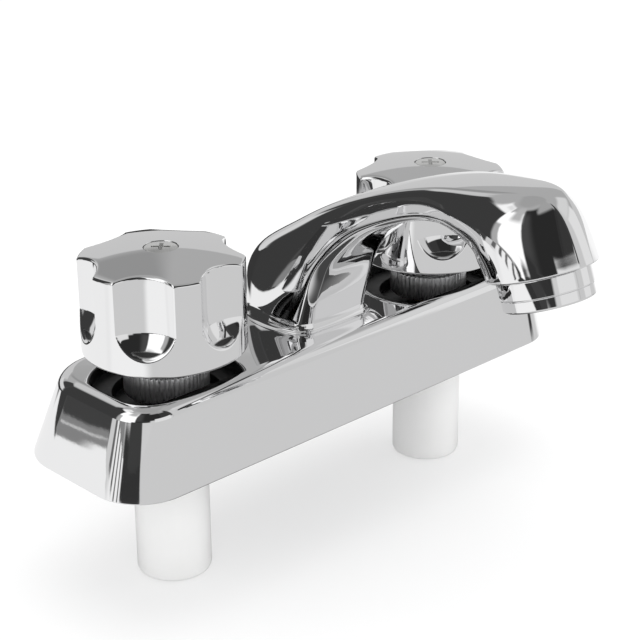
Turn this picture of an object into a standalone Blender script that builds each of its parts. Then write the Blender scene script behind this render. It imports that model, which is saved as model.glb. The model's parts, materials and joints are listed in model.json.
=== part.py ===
"""Two-handle centerset washbasin faucet: plated casting, fluted knobs and the parts inside.

Metres, +Z up. X runs along the base, the spout points to -Y, and z = 0 is the deck that the
base stands on. The origin is midway between the two valve axes.
"""
import math

import bmesh
import bpy
from mathutils import Matrix, Vector

# Layout
VALVE_SPACING = 0.1016
CLEARANCE = 0.0003
CUT_OVERRUN = 0.001

# Base casting
END_OVERHANG = 0.0322
BASE_LENGTH = VALVE_SPACING + 2 * END_OVERHANG
BASE_FRONT = 0.0256
BASE_BACK = 0.0286
BASE_HEIGHT = 0.0236
END_DRAFT = 0.0060
FRONT_DRAFT = 0.0036
BACK_DRAFT = 0.0088
FRONT_CORNER = 0.0143
BACK_CORNER = 0.0177
TOP_EDGE_RADIUS = 0.0030
SHELL_WALL = 0.0026

# Spout, seen from the side: where it stands, how high it arches and where it ends
FOOT_FRONT = 0.0128
FOOT_BACK = 0.0168
FOOT_HALF_WIDTH = 0.0148
FOOT_FLARE = 0.0045
ARCH_HALF_WIDTH = 0.0108
ARCH_UNDERSIDE = 0.0656
ARCH_REACH = 0.0565
RIDGE_HEIGHT = 0.0783
SPOUT_WALL = 0.0026
HEAD_REACH = 0.0830
HEAD_HEIGHT = 0.0577
HEAD_RADIUS = 0.0140
HEAD_TILT = math.radians(19.0)
NOSE_HALF_WIDTH = 0.0024

# Nozzle in the head
NOZZLE_RADIUS = 0.0118
NOZZLE_LENGTH = 0.0080
NOZZLE_NECK_RADIUS = 0.0101
NOZZLE_NECK_LENGTH = 0.0062
NOZZLE_BORE = 0.0086
NOZZLE_LIP = 0.0010
NOZZLE_GROOVE = 0.0004
NOZZLE_GROOVE_PLACE = 0.62
NOZZLE_WASHER = 0.0014
NOZZLE_WASHER_HOLE = 0.0070
OUTLET_PASSAGE = 0.0078
OUTLET_LENGTH = 0.0055
OUTLET_TAPER = 0.9
STRAIGHTENER_FLOOR = 0.0030
STRAIGHTENER_WALL = 0.0010
HONEYCOMB_PITCH = 0.0046
HONEYCOMB_HOLE = 0.0021
HONEYCOMB_RINGS = 1

# Knobs
KNOB_RADIUS = 0.02165
KNOB_BOTTOM = 0.0283
KNOB_RIM = 0.0530
KNOB_CROWN = 0.0028
KNOB_EDGE = 0.0007
KNOB_RECESS_RADIUS = 0.0146
KNOB_RECESS_DEPTH = 0.0062
FLUTE_COUNT = 6
FLUTE_RADIUS = 0.01172
FLUTE_DEPTH = 0.00415
FLUTE_END = 0.0389
SCOOP_RADIUS = 0.0123
SCOOP_FIRST_STEP = 0.1
SCOOP_STEP_POWER = 1.4
HOT_FLUTE_ANGLE = math.radians(52.0)
COLD_FLUTE_ANGLE = math.radians(36.0)

# Knob screw
SCREW_HEAD_RADIUS = 0.00445
SCREW_HEAD_HEIGHT = 0.0024
SCREW_SHANK_RADIUS = 0.0019
SCREW_LENGTH = 0.0145
SCREW_POINT = 0.0008
SCREW_HEAD_EDGE = 0.0005
SCREW_RECESS_GAP = 0.0003
SCREW_CROSS_WIDTH = 0.0010
SCREW_CROSS_LENGTH = 0.0046
SCREW_CROSS_DEPTH = 0.0012

# Bonnet nut with its ribs
NUT_RADIUS = 0.0114
NUT_RIB_COUNT = 48
NUT_RIB_DEPTH = 0.0004
NUT_FLANGE = 0.0020

# Waterway underbody
SHANK_RADIUS = 0.0102
SHANK_BORE = 0.0074
SHANK_END = -0.0370
SHANK_CHAMFER = 0.0010
WELL_RADIUS = 0.0096
WELL_BORE = 0.0079
WELL_FLOOR = 0.0080
WELL_TOP = 0.0270
INLET_PORT = 0.0036
WELL_FLOOR_THICKNESS = 0.0035
SHANK_FLANGE_RADIUS = 0.0135
SHANK_FLANGE_THICKNESS = 0.0030
CHANNEL_RADIUS = 0.0058
CHANNEL_BORE = 0.0038
CHANNEL_HEIGHT = 0.0135
RISER_PLACE = 0.0030
RISER_RADIUS = 0.0062
RISER_BORE = 0.0034
RISER_TOP = 0.0268
RISER_HUB_RADIUS = 0.0088
RISER_HUB_BOTTOM = 0.0060
RISER_HUB_TOP = 0.0196
RISER_SEAL_HEIGHT = 0.0248
RISER_SEAL_DEPTH = 0.0015

# Deck gasket
GASKET_THICKNESS = 0.0030

# Screws from below and the posts that take them
SCREW_PLACE_X = 0.0230
SCREW_PLACE_Y = 0.0105
PLATE_THICKNESS = 0.0028
PLATE_BOTTOM = 0.0089
PLATE_MARGIN = 0.0046
POST_RADIUS = 0.0034
POST_HOLE = 0.0014
SMALL_SCREW_RADIUS = 0.0011
SMALL_SCREW_HEAD = 0.0030
SMALL_SCREW_HEAD_HEIGHT = 0.0018
SMALL_SCREW_LENGTH = 0.0085
SMALL_SCREW_POINT = 0.0008

# Valve cartridge
CARTRIDGE_RADIUS = 0.0076
CARTRIDGE_CHAMBER = 0.0067
CARTRIDGE_FLANGE_THICKNESS = 0.0016
CARTRIDGE_NECK_RADIUS = 0.0053
CARTRIDGE_NECK_TOP = 0.0338
CARTRIDGE_WINDOW_WIDTH = 0.0050
CARTRIDGE_WINDOW_HEIGHT = 0.0030
CARTRIDGE_SEAL_HEIGHT = 0.0230
CARTRIDGE_SEAL_DEPTH = 0.0013
DISC_THICKNESS = 0.0022
DISC_PORT_RADIUS = 0.0013
DISC_PORT_PLACE = 0.0030
SEAT_SEAL_HEIGHT = 0.0018
SEAT_SEAL_WALL = 0.0018
STEM_RADIUS = 0.0034
STEM_TOP = 0.0490
STEM_SEAL_DEPTH = 0.0011
SERRATION_DEPTH = 0.0003
SERRATION_COUNT = 12
DRIVE_BAR_WIDTH = 0.0022
DRIVE_BAR_LENGTH = 0.0084
DRIVE_BAR_HEIGHT = 0.0028
DRIVE_SLOT_DEPTH = 0.0012

# How finely round and lofted forms are cut into flats
ROUND_SIDES = 20
SMALL_SIDES = 16
BORE_SIDES = 12
HOLE_SIDES = 8
CELL_SIDES = 6
SEAL_SIDES = 5
CORNER_STEPS = 5
EDGE_STEPS = 3
SPOUT_STEPS = 2
CAVITY_STEPS = 1
FLUTE_STEPS = 4
LAND_STEPS = 2
SCOOP_STEPS = 2
SHARP_ANGLE = math.radians(32.0)
MERGE_DISTANCE = 0.000002

# Finishes: colour, roughness, metallic
CHROME = ((0.80, 0.80, 0.81), 0.06, 1.0)
WHITE_PLASTIC = ((0.86, 0.86, 0.85), 0.42, 0.0)
GREY_FOAM = ((0.20, 0.20, 0.21), 0.90, 0.0)
STEEL = ((0.62, 0.62, 0.61), 0.25, 1.0)
BLACK_RUBBER = ((0.03, 0.03, 0.03), 0.65, 0.0)
BRASS = ((0.78, 0.60, 0.30), 0.28, 1.0)
CERAMIC = ((0.88, 0.87, 0.84), 0.20, 0.0)
GREY_PLASTIC = ((0.55, 0.56, 0.57), 0.45, 0.0)


# Helpers

def clear_scene():
    for item in list(bpy.data.objects):
        bpy.data.objects.remove(item, do_unlink=True)


def make_material(name, finish):
    colour, roughness, metallic = finish
    material = bpy.data.materials.new(name)
    material.use_nodes = True
    shader = material.node_tree.nodes["Principled BSDF"]
    shader.inputs["Base Color"].default_value = (*colour, 1.0)
    shader.inputs["Roughness"].default_value = roughness
    shader.inputs["Metallic"].default_value = metallic
    return material


def to_object(name, bm):
    bmesh.ops.remove_doubles(bm, verts=bm.verts, dist=1e-7)
    bmesh.ops.recalc_face_normals(bm, faces=bm.faces)
    mesh = bpy.data.meshes.new(name)
    bm.to_mesh(mesh)
    bm.free()
    item = bpy.data.objects.new(name, mesh)
    bpy.context.scene.collection.objects.link(item)
    return item


def loft(name, rings):
    """Skin closed rings of equal point counts, and cap both ends."""
    bm = bmesh.new()
    rows = [[bm.verts.new(point) for point in ring] for ring in rings]
    count = len(rings[0])
    for low, high in zip(rows, rows[1:]):
        for i in range(count):
            j = (i + 1) % count
            bm.faces.new((low[i], low[j], high[j], high[i]))
    bm.faces.new(rows[0])
    bm.faces.new(rows[-1])
    return to_object(name, bm)


def turned(name, profile, sides=ROUND_SIDES, place=(0.0, 0.0, 0.0)):
    """Spin a closed outline of (radius, height) points once round Z."""
    bm = bmesh.new()
    corners = [bm.verts.new((radius, 0.0, height)) for radius, height in profile]
    edges = []
    for a, b in zip(corners, corners[1:] + corners[:1]):
        if a.co.x > 1e-6 or b.co.x > 1e-6:
            edges.append(bm.edges.new((a, b)))
    bmesh.ops.spin(bm, geom=corners + edges, cent=(0, 0, 0), axis=(0, 0, 1),
                   angle=math.tau, steps=sides, use_merge=True)
    bmesh.ops.remove_doubles(bm, verts=bm.verts, dist=1e-6)
    bmesh.ops.translate(bm, verts=bm.verts, vec=place)
    return to_object(name, bm)


def cylinder(name, radius, low, high, sides=ROUND_SIDES, place=(0.0, 0.0)):
    return turned(name, [(0.0, low), (radius, low), (radius, high), (0.0, high)],
                  sides, (place[0], place[1], 0.0))


def block(name, size, centre, turn=0.0):
    bm = bmesh.new()
    bmesh.ops.create_cube(bm, size=1.0)
    bmesh.ops.scale(bm, verts=bm.verts, vec=size)
    bmesh.ops.rotate(bm, verts=bm.verts, cent=(0, 0, 0), matrix=Matrix.Rotation(turn, 3, "Z"))
    bmesh.ops.translate(bm, verts=bm.verts, vec=centre)
    return to_object(name, bm)


def move(item, matrix):
    item.data.transform(matrix)
    return item


def combine(item, tool, operation):
    """Apply a Boolean of the tool to the item, and drop the tool."""
    modifier = item.modifiers.new("cut", "BOOLEAN")
    modifier.object = tool
    modifier.operation = operation
    modifier.solver = "EXACT"
    graph = bpy.context.evaluated_depsgraph_get()
    graph.update()
    bm = bmesh.new()
    bm.from_mesh(item.evaluated_get(graph).data)
    bmesh.ops.remove_doubles(bm, verts=bm.verts, dist=MERGE_DISTANCE)
    bmesh.ops.dissolve_degenerate(bm, edges=bm.edges, dist=MERGE_DISTANCE)
    item.modifiers.clear()
    bm.to_mesh(item.data)
    bm.free()
    bpy.data.objects.remove(tool, do_unlink=True)
    return item


def cut(item, tool):
    return combine(item, tool, "DIFFERENCE")


def fuse(item, tool):
    return combine(item, tool, "UNION")


def finish(item, name, material):
    item.name = name
    item.data.name = name
    item.data.materials.clear()
    item.data.materials.append(material)
    item.data.shade_smooth()
    item.data.set_sharp_from_angle(angle=SHARP_ANGLE)
    return item


def polar(radius, angle):
    return radius * math.cos(angle), radius * math.sin(angle)


def ring_seal_profile(inner, outer, height):
    """A round ring's section between two radii, centred on a height."""
    middle = (inner + outer) / 2
    thickness = (outer - inner) / 2
    profile = []
    for i in range(SEAL_SIDES):
        x, z = polar(thickness, math.tau * i / SEAL_SIDES)
        profile.append((middle + x, height + z))
    return profile


# Base and spout casting

def base_ring(end_inset, front_inset, back_inset, corner_inset, height):
    """Rounded rectangle of the base, moved in from the deck outline on each side."""
    half = BASE_LENGTH / 2 - end_inset
    front = BASE_FRONT - front_inset
    back = BASE_BACK - back_inset
    front_round = FRONT_CORNER - corner_inset
    back_round = BACK_CORNER - corner_inset
    corners = (
        (-half + front_round, -front + front_round, front_round, 180.0),
        (half - front_round, -front + front_round, front_round, 270.0),
        (half - back_round, back - back_round, back_round, 0.0),
        (-half + back_round, back - back_round, back_round, 90.0),
    )
    points = []
    for x, y, radius, start in corners:
        for i in range(CORNER_STEPS + 1):
            dx, dy = polar(radius, math.radians(start + 90.0 * i / CORNER_STEPS))
            points.append((x + dx, y + dy, height))
    return points


def base_block(name, inset, low, high, edge_radius):
    """The drafted block of the base, with its top edge rounded."""
    rings = []
    wall_top = high - edge_radius
    for height in (low, wall_top):
        share = height / BASE_HEIGHT
        rings.append((share, inset, height))
    for i in range(1, EDGE_STEPS + 1):
        if edge_radius == 0.0:
            break
        turn = math.pi / 2 * i / EDGE_STEPS
        dx, dz = polar(edge_radius, turn)
        rings.append((wall_top / BASE_HEIGHT, inset + edge_radius - dx, wall_top + dz))
    return loft(name, [
        base_ring(END_DRAFT * share + step, FRONT_DRAFT * share + step,
                  BACK_DRAFT * share + step, step + FRONT_DRAFT * share, height)
        for share, step, height in rings])


def spout_stations():
    """Sections along the spout, from inside the base to the head's rim.

    Each has its inner end and its outer end as (y, z), the half widths at the inner end,
    the middle and the outer end, the two corner radii, the crown and how round it is.
    """
    tilt = Vector((math.cos(HEAD_TILT), -math.sin(HEAD_TILT)))
    rim = Vector((-HEAD_REACH, HEAD_HEIGHT))
    rim_in = rim + tilt * HEAD_RADIUS
    rim_out = rim - tilt * HEAD_RADIUS
    up = Vector((math.sin(HEAD_TILT), math.cos(HEAD_TILT)))
    deck = BASE_HEIGHT
    arch = Vector((-ARCH_REACH, ARCH_UNDERSIDE))
    rise = ARCH_UNDERSIDE - deck
    span = ARCH_REACH - FOOT_FRONT
    wide = FOOT_HALF_WIDTH
    slim = ARCH_HALF_WIDTH
    nose = NOSE_HALF_WIDTH

    def front(share_y, share_z):
        return Vector((-FOOT_FRONT - span * share_y, deck + rise * share_z))

    def ridge(y, drop):
        return Vector((-y, RIDGE_HEIGHT - drop))

    rows = [
        (front(-0.03, -0.09), Vector((FOOT_BACK, deck - 0.004)), wide * 0.80, wide, wide * 0.62,
         0.0034, 0.0060, 0.0012, 0.15),
        (front(0.00, 0.08), Vector((FOOT_BACK, deck + 0.004)), wide * 0.80, wide,
         wide * 0.62, 0.0034, 0.0060, 0.0012, 0.15),
        (front(0.04, 0.23), Vector((FOOT_BACK - 0.0004, deck + 0.0115)), wide * 0.82,
         wide * 0.98, wide * 0.60, 0.0030, 0.0056, 0.0014, 0.12),
        (front(0.08, 0.35), Vector((FOOT_BACK - 0.0036, deck + 0.0175)), wide * 0.81,
         wide * 0.95, wide * 0.60, 0.0030, 0.0050, 0.0016, 0.10),
        (front(0.14, 0.48), ridge(-0.0070, RIDGE_HEIGHT - deck - 0.0229), wide * 0.78,
         wide * 0.89, slim * 0.86, 0.0030, 0.0044, 0.0018, 0.08),
        (front(0.27, 0.625), ridge(0.0030, RIDGE_HEIGHT - deck - 0.0290), slim * 1.0,
         wide * 0.83, slim * 0.90, 0.0030, 0.0036, 0.0019, 0.08),
        (front(0.43, 0.76), ridge(0.0145, 0.0187), slim * 0.95, wide * 0.79, slim * 0.94,
         0.0032, 0.0032, 0.0019, 0.08),
        (front(0.60, 0.86), ridge(0.0284, 0.0121), slim * 0.96, slim * 1.04, slim * 0.97,
         0.0028, 0.0028, 0.0019, 0.06),
        (front(0.81, 0.955), ridge(0.0425, 0.0067), slim * 0.97, slim * 1.02, slim * 0.98,
         0.0024, 0.0024, 0.0018, 0.05),
        (arch, ridge(0.0560, 0.0030), slim * 0.98, slim * 1.02, slim * 0.95, 0.0022, 0.0020,
         0.0018, 0.04),
        (arch + Vector((-0.0065, -0.0012)), ridge(0.0690, 0.0009), slim, slim * 1.12, slim * 0.84,
         0.0024, 0.0014, 0.0013, 0.06),
        (rim_in + up * 0.0078 + Vector((-0.0008, 0.0)), ridge(0.0795, 0.0), slim * 0.95,
         HEAD_RADIUS * 0.95, slim * 0.62, 0.0036, 0.0010, 0.0008, 0.35),
        (rim_in + up * 0.0042, ridge(0.0862, 0.0009), slim * 0.85, HEAD_RADIUS * 0.99, nose * 1.35,
         0.0050, 0.0006, 0.0002, 0.60),
        (rim_in + up * 0.0020, rim_out + up * 0.0098 + Vector((0.0014, 0.0)), slim * 0.78,
         HEAD_RADIUS, nose, 0.0056, 0.0004, 0.0001, 0.80),
        (rim_in, rim_out, slim * 0.74, HEAD_RADIUS, nose, 0.0060, 0.0003, 0.0001, 0.92),
    ]
    return rows


def flatten(row):
    """A station as one list of numbers, so that stations can be blended."""
    inner, outer = row[0], row[1]
    return [inner.x, inner.y, outer.x, outer.y, *row[2:]]


def blend_stations(rows, steps):
    """Smooth curve through all stations, with more sections between them."""
    values = [flatten(row) for row in rows]
    result = []
    for i in range(len(values) - 1):
        before = values[max(i - 1, 0)]
        after = values[min(i + 2, len(values) - 1)]
        for k in range(steps):
            t = k / steps
            weights = (
                -0.5 * t ** 3 + t ** 2 - 0.5 * t,
                1.5 * t ** 3 - 2.5 * t ** 2 + 1.0,
                -1.5 * t ** 3 + 2.0 * t ** 2 + 0.5 * t,
                0.5 * t ** 3 - 0.5 * t ** 2,
            )
            points = (before, values[i], values[i + 1], after)
            result.append([sum(w * p[n] for w, p in zip(weights, points))
                           for n in range(len(before))])
    result.append(values[-1])
    return result


def quadratic(a, b, c, t):
    return a * (1 - t) ** 2 + b * 2 * t * (1 - t) + c * t ** 2


def half_section(depth, wide_in, wide_mid, wide_out, round_in, round_out, crown):
    """Half outline in (x, v), from the inner end's middle to the outer end's middle."""
    corner_in = Vector((wide_in, 0.0))
    corner_out = Vector((wide_out, depth - crown))
    bulge = Vector((2 * wide_mid - (wide_in + wide_out) / 2, depth / 2))
    side_length = (corner_out - corner_in).length
    start = min(round_in / side_length, 0.4)
    stop = 1.0 - min(round_out / side_length, 0.4)

    def side(t):
        return quadratic(corner_in, bulge, corner_out, t)

    def top(x):
        return Vector((x, depth - crown * (x / wide_out) ** 2))

    flat_in = max(wide_in - round_in, wide_in * 0.3)
    flat_out = max(wide_out - round_out, wide_out * 0.4)
    points = [Vector((0.0, 0.0))]
    points += [quadratic(Vector((flat_in, 0.0)), corner_in, side(start), t) for t in (0.0, 0.5)]
    points += [side(start + (stop - start) * t) for t in (0.0, 0.33, 0.67)]
    points += [quadratic(side(stop), corner_out, top(flat_out), t) for t in (0.0, 0.5)]
    points += [top(flat_out * t) for t in (1.0, 0.5, 0.0)]
    return points


def rounded(point, depth, wide_mid, share):
    """Pull a point towards the ellipse that has the section's depth and width."""
    centre = Vector((0.0, depth / 2))
    arm = point - centre
    angle = math.atan2(arm.y / (depth / 2), arm.x / wide_mid)
    x, v = wide_mid * math.cos(angle), depth / 2 * math.sin(angle)
    return point.lerp(centre + Vector((x, v)), share)


def spout_ring(values, inset, flare):
    """One section of the spout in space; inset gives the inside of the casting."""
    inner, outer = Vector(values[0:2]), Vector(values[2:4])
    wide_in, wide_mid, wide_out, round_in, round_out, crown, share = values[4:]
    along = (outer - inner).normalized()
    inner = inner + along * (inset - flare)
    outer = outer - along * inset
    depth = (outer - inner).length
    widths = [max(w - inset + flare, 0.0012) for w in (wide_in, wide_mid, wide_out)]
    half = half_section(depth, *widths, max(round_in - inset / 2, 0.0004),
                        max(round_out - inset / 2, 0.0003), crown)
    half = [rounded(p, depth, widths[1], share) for p in half]
    outline = half + [Vector((-p.x, p.y)) for p in reversed(half[1:-1])]
    return [(p.x, inner.x + along.x * p.y, inner.y + along.y * p.y) for p in outline]


def foot_flare(values):
    """How far the foot spreads out where it meets the base, like a fillet."""
    above = (values[1] + values[3]) / 2 - BASE_HEIGHT
    if above >= FOOT_FLARE:
        return 0.0
    reach = max(above, 0.0) / FOOT_FLARE
    return FOOT_FLARE * (1.0 - math.sqrt(1.0 - (1.0 - reach) ** 2)) if reach > 0.0 else FOOT_FLARE


def spout_block(name):
    rows = blend_stations(spout_stations(), SPOUT_STEPS)
    rings = []
    foot = rows[0]
    above = rows[1:]
    for height in (-0.0040, 0.0, FOOT_FLARE * 0.13, FOOT_FLARE * 0.40, FOOT_FLARE):
        low = list(foot)
        low[1] = BASE_HEIGHT + height
        low[3] = BASE_HEIGHT + height
        low[0] = -FOOT_FRONT
        rings.append(spout_ring(low, 0.0, foot_flare(low)))
    for values in above:
        if min(values[1], values[3]) > BASE_HEIGHT + FOOT_FLARE:
            rings.append(spout_ring(values, 0.0, 0.0))
    return loft(name, rings)


def spout_cavity(name):
    rows = blend_stations(spout_stations(), CAVITY_STEPS)
    start = BASE_HEIGHT + 0.0034
    inside = [values for values in rows if min(values[1], values[3]) > start]
    return loft(name, [spout_ring(values, SPOUT_WALL, 0.0)[::2] for values in inside[:-2]])


def nozzle_frame():
    """Places the nozzle parts: local +Z points up into the head from the rim's centre."""
    turn = Matrix.Rotation(-HEAD_TILT, 4, "X")
    return Matrix.Translation((0.0, -HEAD_REACH, HEAD_HEIGHT)) @ turn


def screw_places():
    return [(x * SCREW_PLACE_X, y * SCREW_PLACE_Y) for x in (-1, 1) for y in (-1, 1)]


def body_shell(material):
    ceiling = BASE_HEIGHT - SHELL_WALL
    shell = base_block("base", 0.0, 0.0, BASE_HEIGHT, TOP_EDGE_RADIUS)
    cut(shell, base_block("base_hollow", SHELL_WALL, -CLEARANCE, ceiling, 0.0))
    spout = spout_block("spout")
    cut(spout, block("below", (0.1, 0.1, 0.02), (0.0, 0.0, ceiling - 0.01 + CLEARANCE)))
    fuse(shell, spout)
    cut(shell, spout_cavity("spout_hollow"))
    socket = cylinder("socket", RISER_RADIUS + CLEARANCE, ceiling - CUT_OVERRUN,
                      BASE_HEIGHT + 0.008, ROUND_SIDES, (0.0, RISER_PLACE))
    cut(shell, socket)
    neck = NOZZLE_NECK_LENGTH + NOZZLE_WASHER + 2 * CLEARANCE
    passage = turned("outlet", [
        (0.0, -2 * CUT_OVERRUN), (NOZZLE_NECK_RADIUS + CLEARANCE, -2 * CUT_OVERRUN),
        (NOZZLE_NECK_RADIUS + CLEARANCE, neck), (OUTLET_PASSAGE, neck),
        (OUTLET_PASSAGE * OUTLET_TAPER, neck + OUTLET_LENGTH), (0.0, neck + OUTLET_LENGTH)])
    cut(shell, move(passage, nozzle_frame()))
    post_bottom = PLATE_BOTTOM + PLATE_THICKNESS + CLEARANCE
    for place in screw_places():
        fuse(shell, cylinder("post", POST_RADIUS, post_bottom, ceiling + CUT_OVERRUN, BORE_SIDES, place))
        cut(shell, cylinder("post_hole", POST_HOLE, post_bottom - CUT_OVERRUN, ceiling - CUT_OVERRUN,
                            HOLE_SIDES, place))
    for side in (-1, 1):
        hole = cylinder("valve_hole", WELL_RADIUS + CLEARANCE, ceiling - CUT_OVERRUN,
                        BASE_HEIGHT + CUT_OVERRUN, ROUND_SIDES, (side * VALVE_SPACING / 2, 0.0))
        cut(shell, hole)
    return finish(shell, "body_shell", material)


# Waterway under the casting

def waterway_underbody(material):
    seat = GASKET_THICKNESS + CLEARANCE
    half = VALVE_SPACING / 2
    body = cross_channel("channel", CHANNEL_RADIUS, SMALL_SIDES)
    groove_low = RISER_SEAL_HEIGHT - RISER_SEAL_DEPTH / 2 - CLEARANCE
    groove_high = RISER_SEAL_HEIGHT + RISER_SEAL_DEPTH / 2 + CLEARANCE
    groove = RISER_RADIUS - RISER_SEAL_DEPTH - CLEARANCE
    riser = turned("riser", [
        (0.0, RISER_HUB_BOTTOM), (RISER_HUB_RADIUS, RISER_HUB_BOTTOM),
        (RISER_HUB_RADIUS, RISER_HUB_TOP), (RISER_RADIUS, RISER_HUB_TOP),
        (RISER_RADIUS, groove_low), (groove, groove_low), (groove, groove_high),
        (RISER_RADIUS, groove_high), (RISER_RADIUS, RISER_TOP), (0.0, RISER_TOP)],
        SMALL_SIDES, (0.0, RISER_PLACE, 0.0))
    fuse(body, riser)
    fuse(body, mounting_plate())
    for side in (-1, 1):
        fuse(body, turned("well", [
            (0.0, SHANK_END), (SHANK_RADIUS - SHANK_CHAMFER, SHANK_END),
            (SHANK_RADIUS, SHANK_END + SHANK_CHAMFER), (SHANK_RADIUS, seat),
            (SHANK_FLANGE_RADIUS, seat), (SHANK_FLANGE_RADIUS, seat + SHANK_FLANGE_THICKNESS),
            (WELL_RADIUS, seat + SHANK_FLANGE_THICKNESS), (WELL_RADIUS, WELL_TOP),
            (0.0, WELL_TOP)], SMALL_SIDES, (side * half, 0.0, 0.0)))
    for side in (-1, 1):
        cut(body, turned("well_bore", [
            (0.0, SHANK_END - CUT_OVERRUN), (SHANK_BORE, SHANK_END - CUT_OVERRUN),
            (SHANK_BORE, WELL_FLOOR - WELL_FLOOR_THICKNESS),
            (INLET_PORT, WELL_FLOOR - WELL_FLOOR_THICKNESS), (INLET_PORT, WELL_FLOOR),
            (WELL_BORE, WELL_FLOOR), (WELL_BORE, WELL_TOP + CUT_OVERRUN), (0.0, WELL_TOP + CUT_OVERRUN)],
            SMALL_SIDES, (side * half, 0.0, 0.0)))
    cut(body, cross_channel("channel_bore", CHANNEL_BORE, BORE_SIDES))
    cut(body, cylinder("riser_bore", RISER_BORE, CHANNEL_HEIGHT - CHANNEL_BORE / 3,
                       RISER_TOP + CUT_OVERRUN, BORE_SIDES, (0.0, RISER_PLACE)))
    return finish(body, "waterway_underbody", material)


def cross_channel(name, radius, sides):
    """Round bar along X from one valve axis to the other, with a flat and no edge on top."""
    half = VALVE_SPACING / 2
    bar = move(cylinder(name, radius, -half, half, sides), Matrix.Rotation(math.pi / sides, 4, "Z"))
    move(bar, Matrix.Rotation(math.pi / 2, 4, "Y"))
    return move(bar, Matrix.Translation((0.0, 0.0, CHANNEL_HEIGHT)))


def mounting_plate():
    """Flat plate that the four screws go through."""
    half_x = SCREW_PLACE_X + PLATE_MARGIN
    half_y = SCREW_PLACE_Y + PLATE_MARGIN
    outline = []
    for quarter, (x, y) in enumerate(((1, 1), (-1, 1), (-1, -1), (1, -1))):
        for i in range(4):
            dx, dy = polar(PLATE_MARGIN, math.radians(90 * quarter + 30 * i))
            outline.append((x * (half_x - PLATE_MARGIN) + dx, y * (half_y - PLATE_MARGIN) + dy))
    plate = loft("plate", [[(x, y, z) for x, y in outline]
                           for z in (PLATE_BOTTOM, PLATE_BOTTOM + PLATE_THICKNESS)])
    for place in screw_places():
        cut(plate, cylinder("plate_hole", SMALL_SCREW_RADIUS + CLEARANCE, PLATE_BOTTOM - CUT_OVERRUN,
                            PLATE_BOTTOM + PLATE_THICKNESS + CUT_OVERRUN, HOLE_SIDES, place))
    return plate


def riser_seal(material):
    profile = ring_seal_profile(RISER_RADIUS - RISER_SEAL_DEPTH, RISER_RADIUS, RISER_SEAL_HEIGHT)
    seal = turned("riser_seal", profile, BORE_SIDES, (0.0, RISER_PLACE, 0.0))
    return finish(seal, "riser_seal", material)


def deck_gasket(material):
    gasket = base_block("gasket", SHELL_WALL + CLEARANCE, 0.0, GASKET_THICKNESS, 0.0)
    for side in (-1, 1):
        cut(gasket, cylinder("shank_hole", SHANK_RADIUS + CLEARANCE, -CUT_OVERRUN,
                             GASKET_THICKNESS + CUT_OVERRUN, ROUND_SIDES,
                             (side * VALVE_SPACING / 2, 0.0)))
    return finish(gasket, "deck_gasket", material)


def underbody_screws(material):
    """Four pan head screws, numbered from the hot side's front corner."""
    top = PLATE_BOTTOM - CLEARANCE
    for number, (x, y) in enumerate(screw_places(), 1):
        screw = turned("screw", [
            (0.0, top - SMALL_SCREW_HEAD_HEIGHT),
            (SMALL_SCREW_HEAD * 0.75, top - SMALL_SCREW_HEAD_HEIGHT),
            (SMALL_SCREW_HEAD, top - SMALL_SCREW_HEAD_HEIGHT / 2), (SMALL_SCREW_HEAD, top),
            (SMALL_SCREW_RADIUS, top), (SMALL_SCREW_RADIUS, top + SMALL_SCREW_LENGTH - SMALL_SCREW_POINT),
            (0.0, top + SMALL_SCREW_LENGTH)], HOLE_SIDES)
        finish(screw, f"underbody_screw_{number}", material)
        screw.location = (x, y, 0.0)


# Nozzle

def nozzle_ring(material):
    bottom = -NOZZLE_LENGTH
    step = bottom * NOZZLE_GROOVE_PLACE
    groove = NOZZLE_GROOVE
    ring = turned("ring", [
        (NOZZLE_BORE - NOZZLE_LIP, bottom), (NOZZLE_RADIUS - groove, bottom),
        (NOZZLE_RADIUS, bottom + groove), (NOZZLE_RADIUS, step - groove),
        (NOZZLE_RADIUS - groove, step), (NOZZLE_RADIUS, step + groove),
        (NOZZLE_RADIUS, -CLEARANCE), (NOZZLE_NECK_RADIUS, -CLEARANCE),
        (NOZZLE_NECK_RADIUS, NOZZLE_NECK_LENGTH), (NOZZLE_BORE, NOZZLE_NECK_LENGTH),
        (NOZZLE_BORE, bottom + NOZZLE_LIP), (NOZZLE_BORE - NOZZLE_LIP, bottom + NOZZLE_LIP)],
        ROUND_SIDES)
    return finish(move(ring, nozzle_frame()), "nozzle_ring", material)


def flow_straightener(material):
    """Cup with a honeycomb floor that calms the stream."""
    radius = NOZZLE_BORE - CLEARANCE
    low = -NOZZLE_LENGTH + NOZZLE_LIP + CLEARANCE
    inside = radius - STRAIGHTENER_WALL
    cup = turned("cup", [
        (0.0, low), (radius, low), (radius, NOZZLE_NECK_LENGTH), (inside, NOZZLE_NECK_LENGTH),
        (inside, low + STRAIGHTENER_FLOOR), (0.0, low + STRAIGHTENER_FLOOR)], ROUND_SIDES)
    for a in range(-HONEYCOMB_RINGS, HONEYCOMB_RINGS + 1):
        for b in range(-HONEYCOMB_RINGS, HONEYCOMB_RINGS + 1):
            if abs(a + b) > HONEYCOMB_RINGS:
                continue
            x = HONEYCOMB_PITCH * (a + b / 2)
            y = HONEYCOMB_PITCH * b * math.sqrt(3) / 2
            hole = cylinder("cell", HONEYCOMB_HOLE, low - CUT_OVERRUN,
                            low + STRAIGHTENER_FLOOR + CUT_OVERRUN, CELL_SIDES, (x, y))
            cut(cup, hole)
    return finish(move(cup, nozzle_frame()), "flow_straightener", material)


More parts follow.
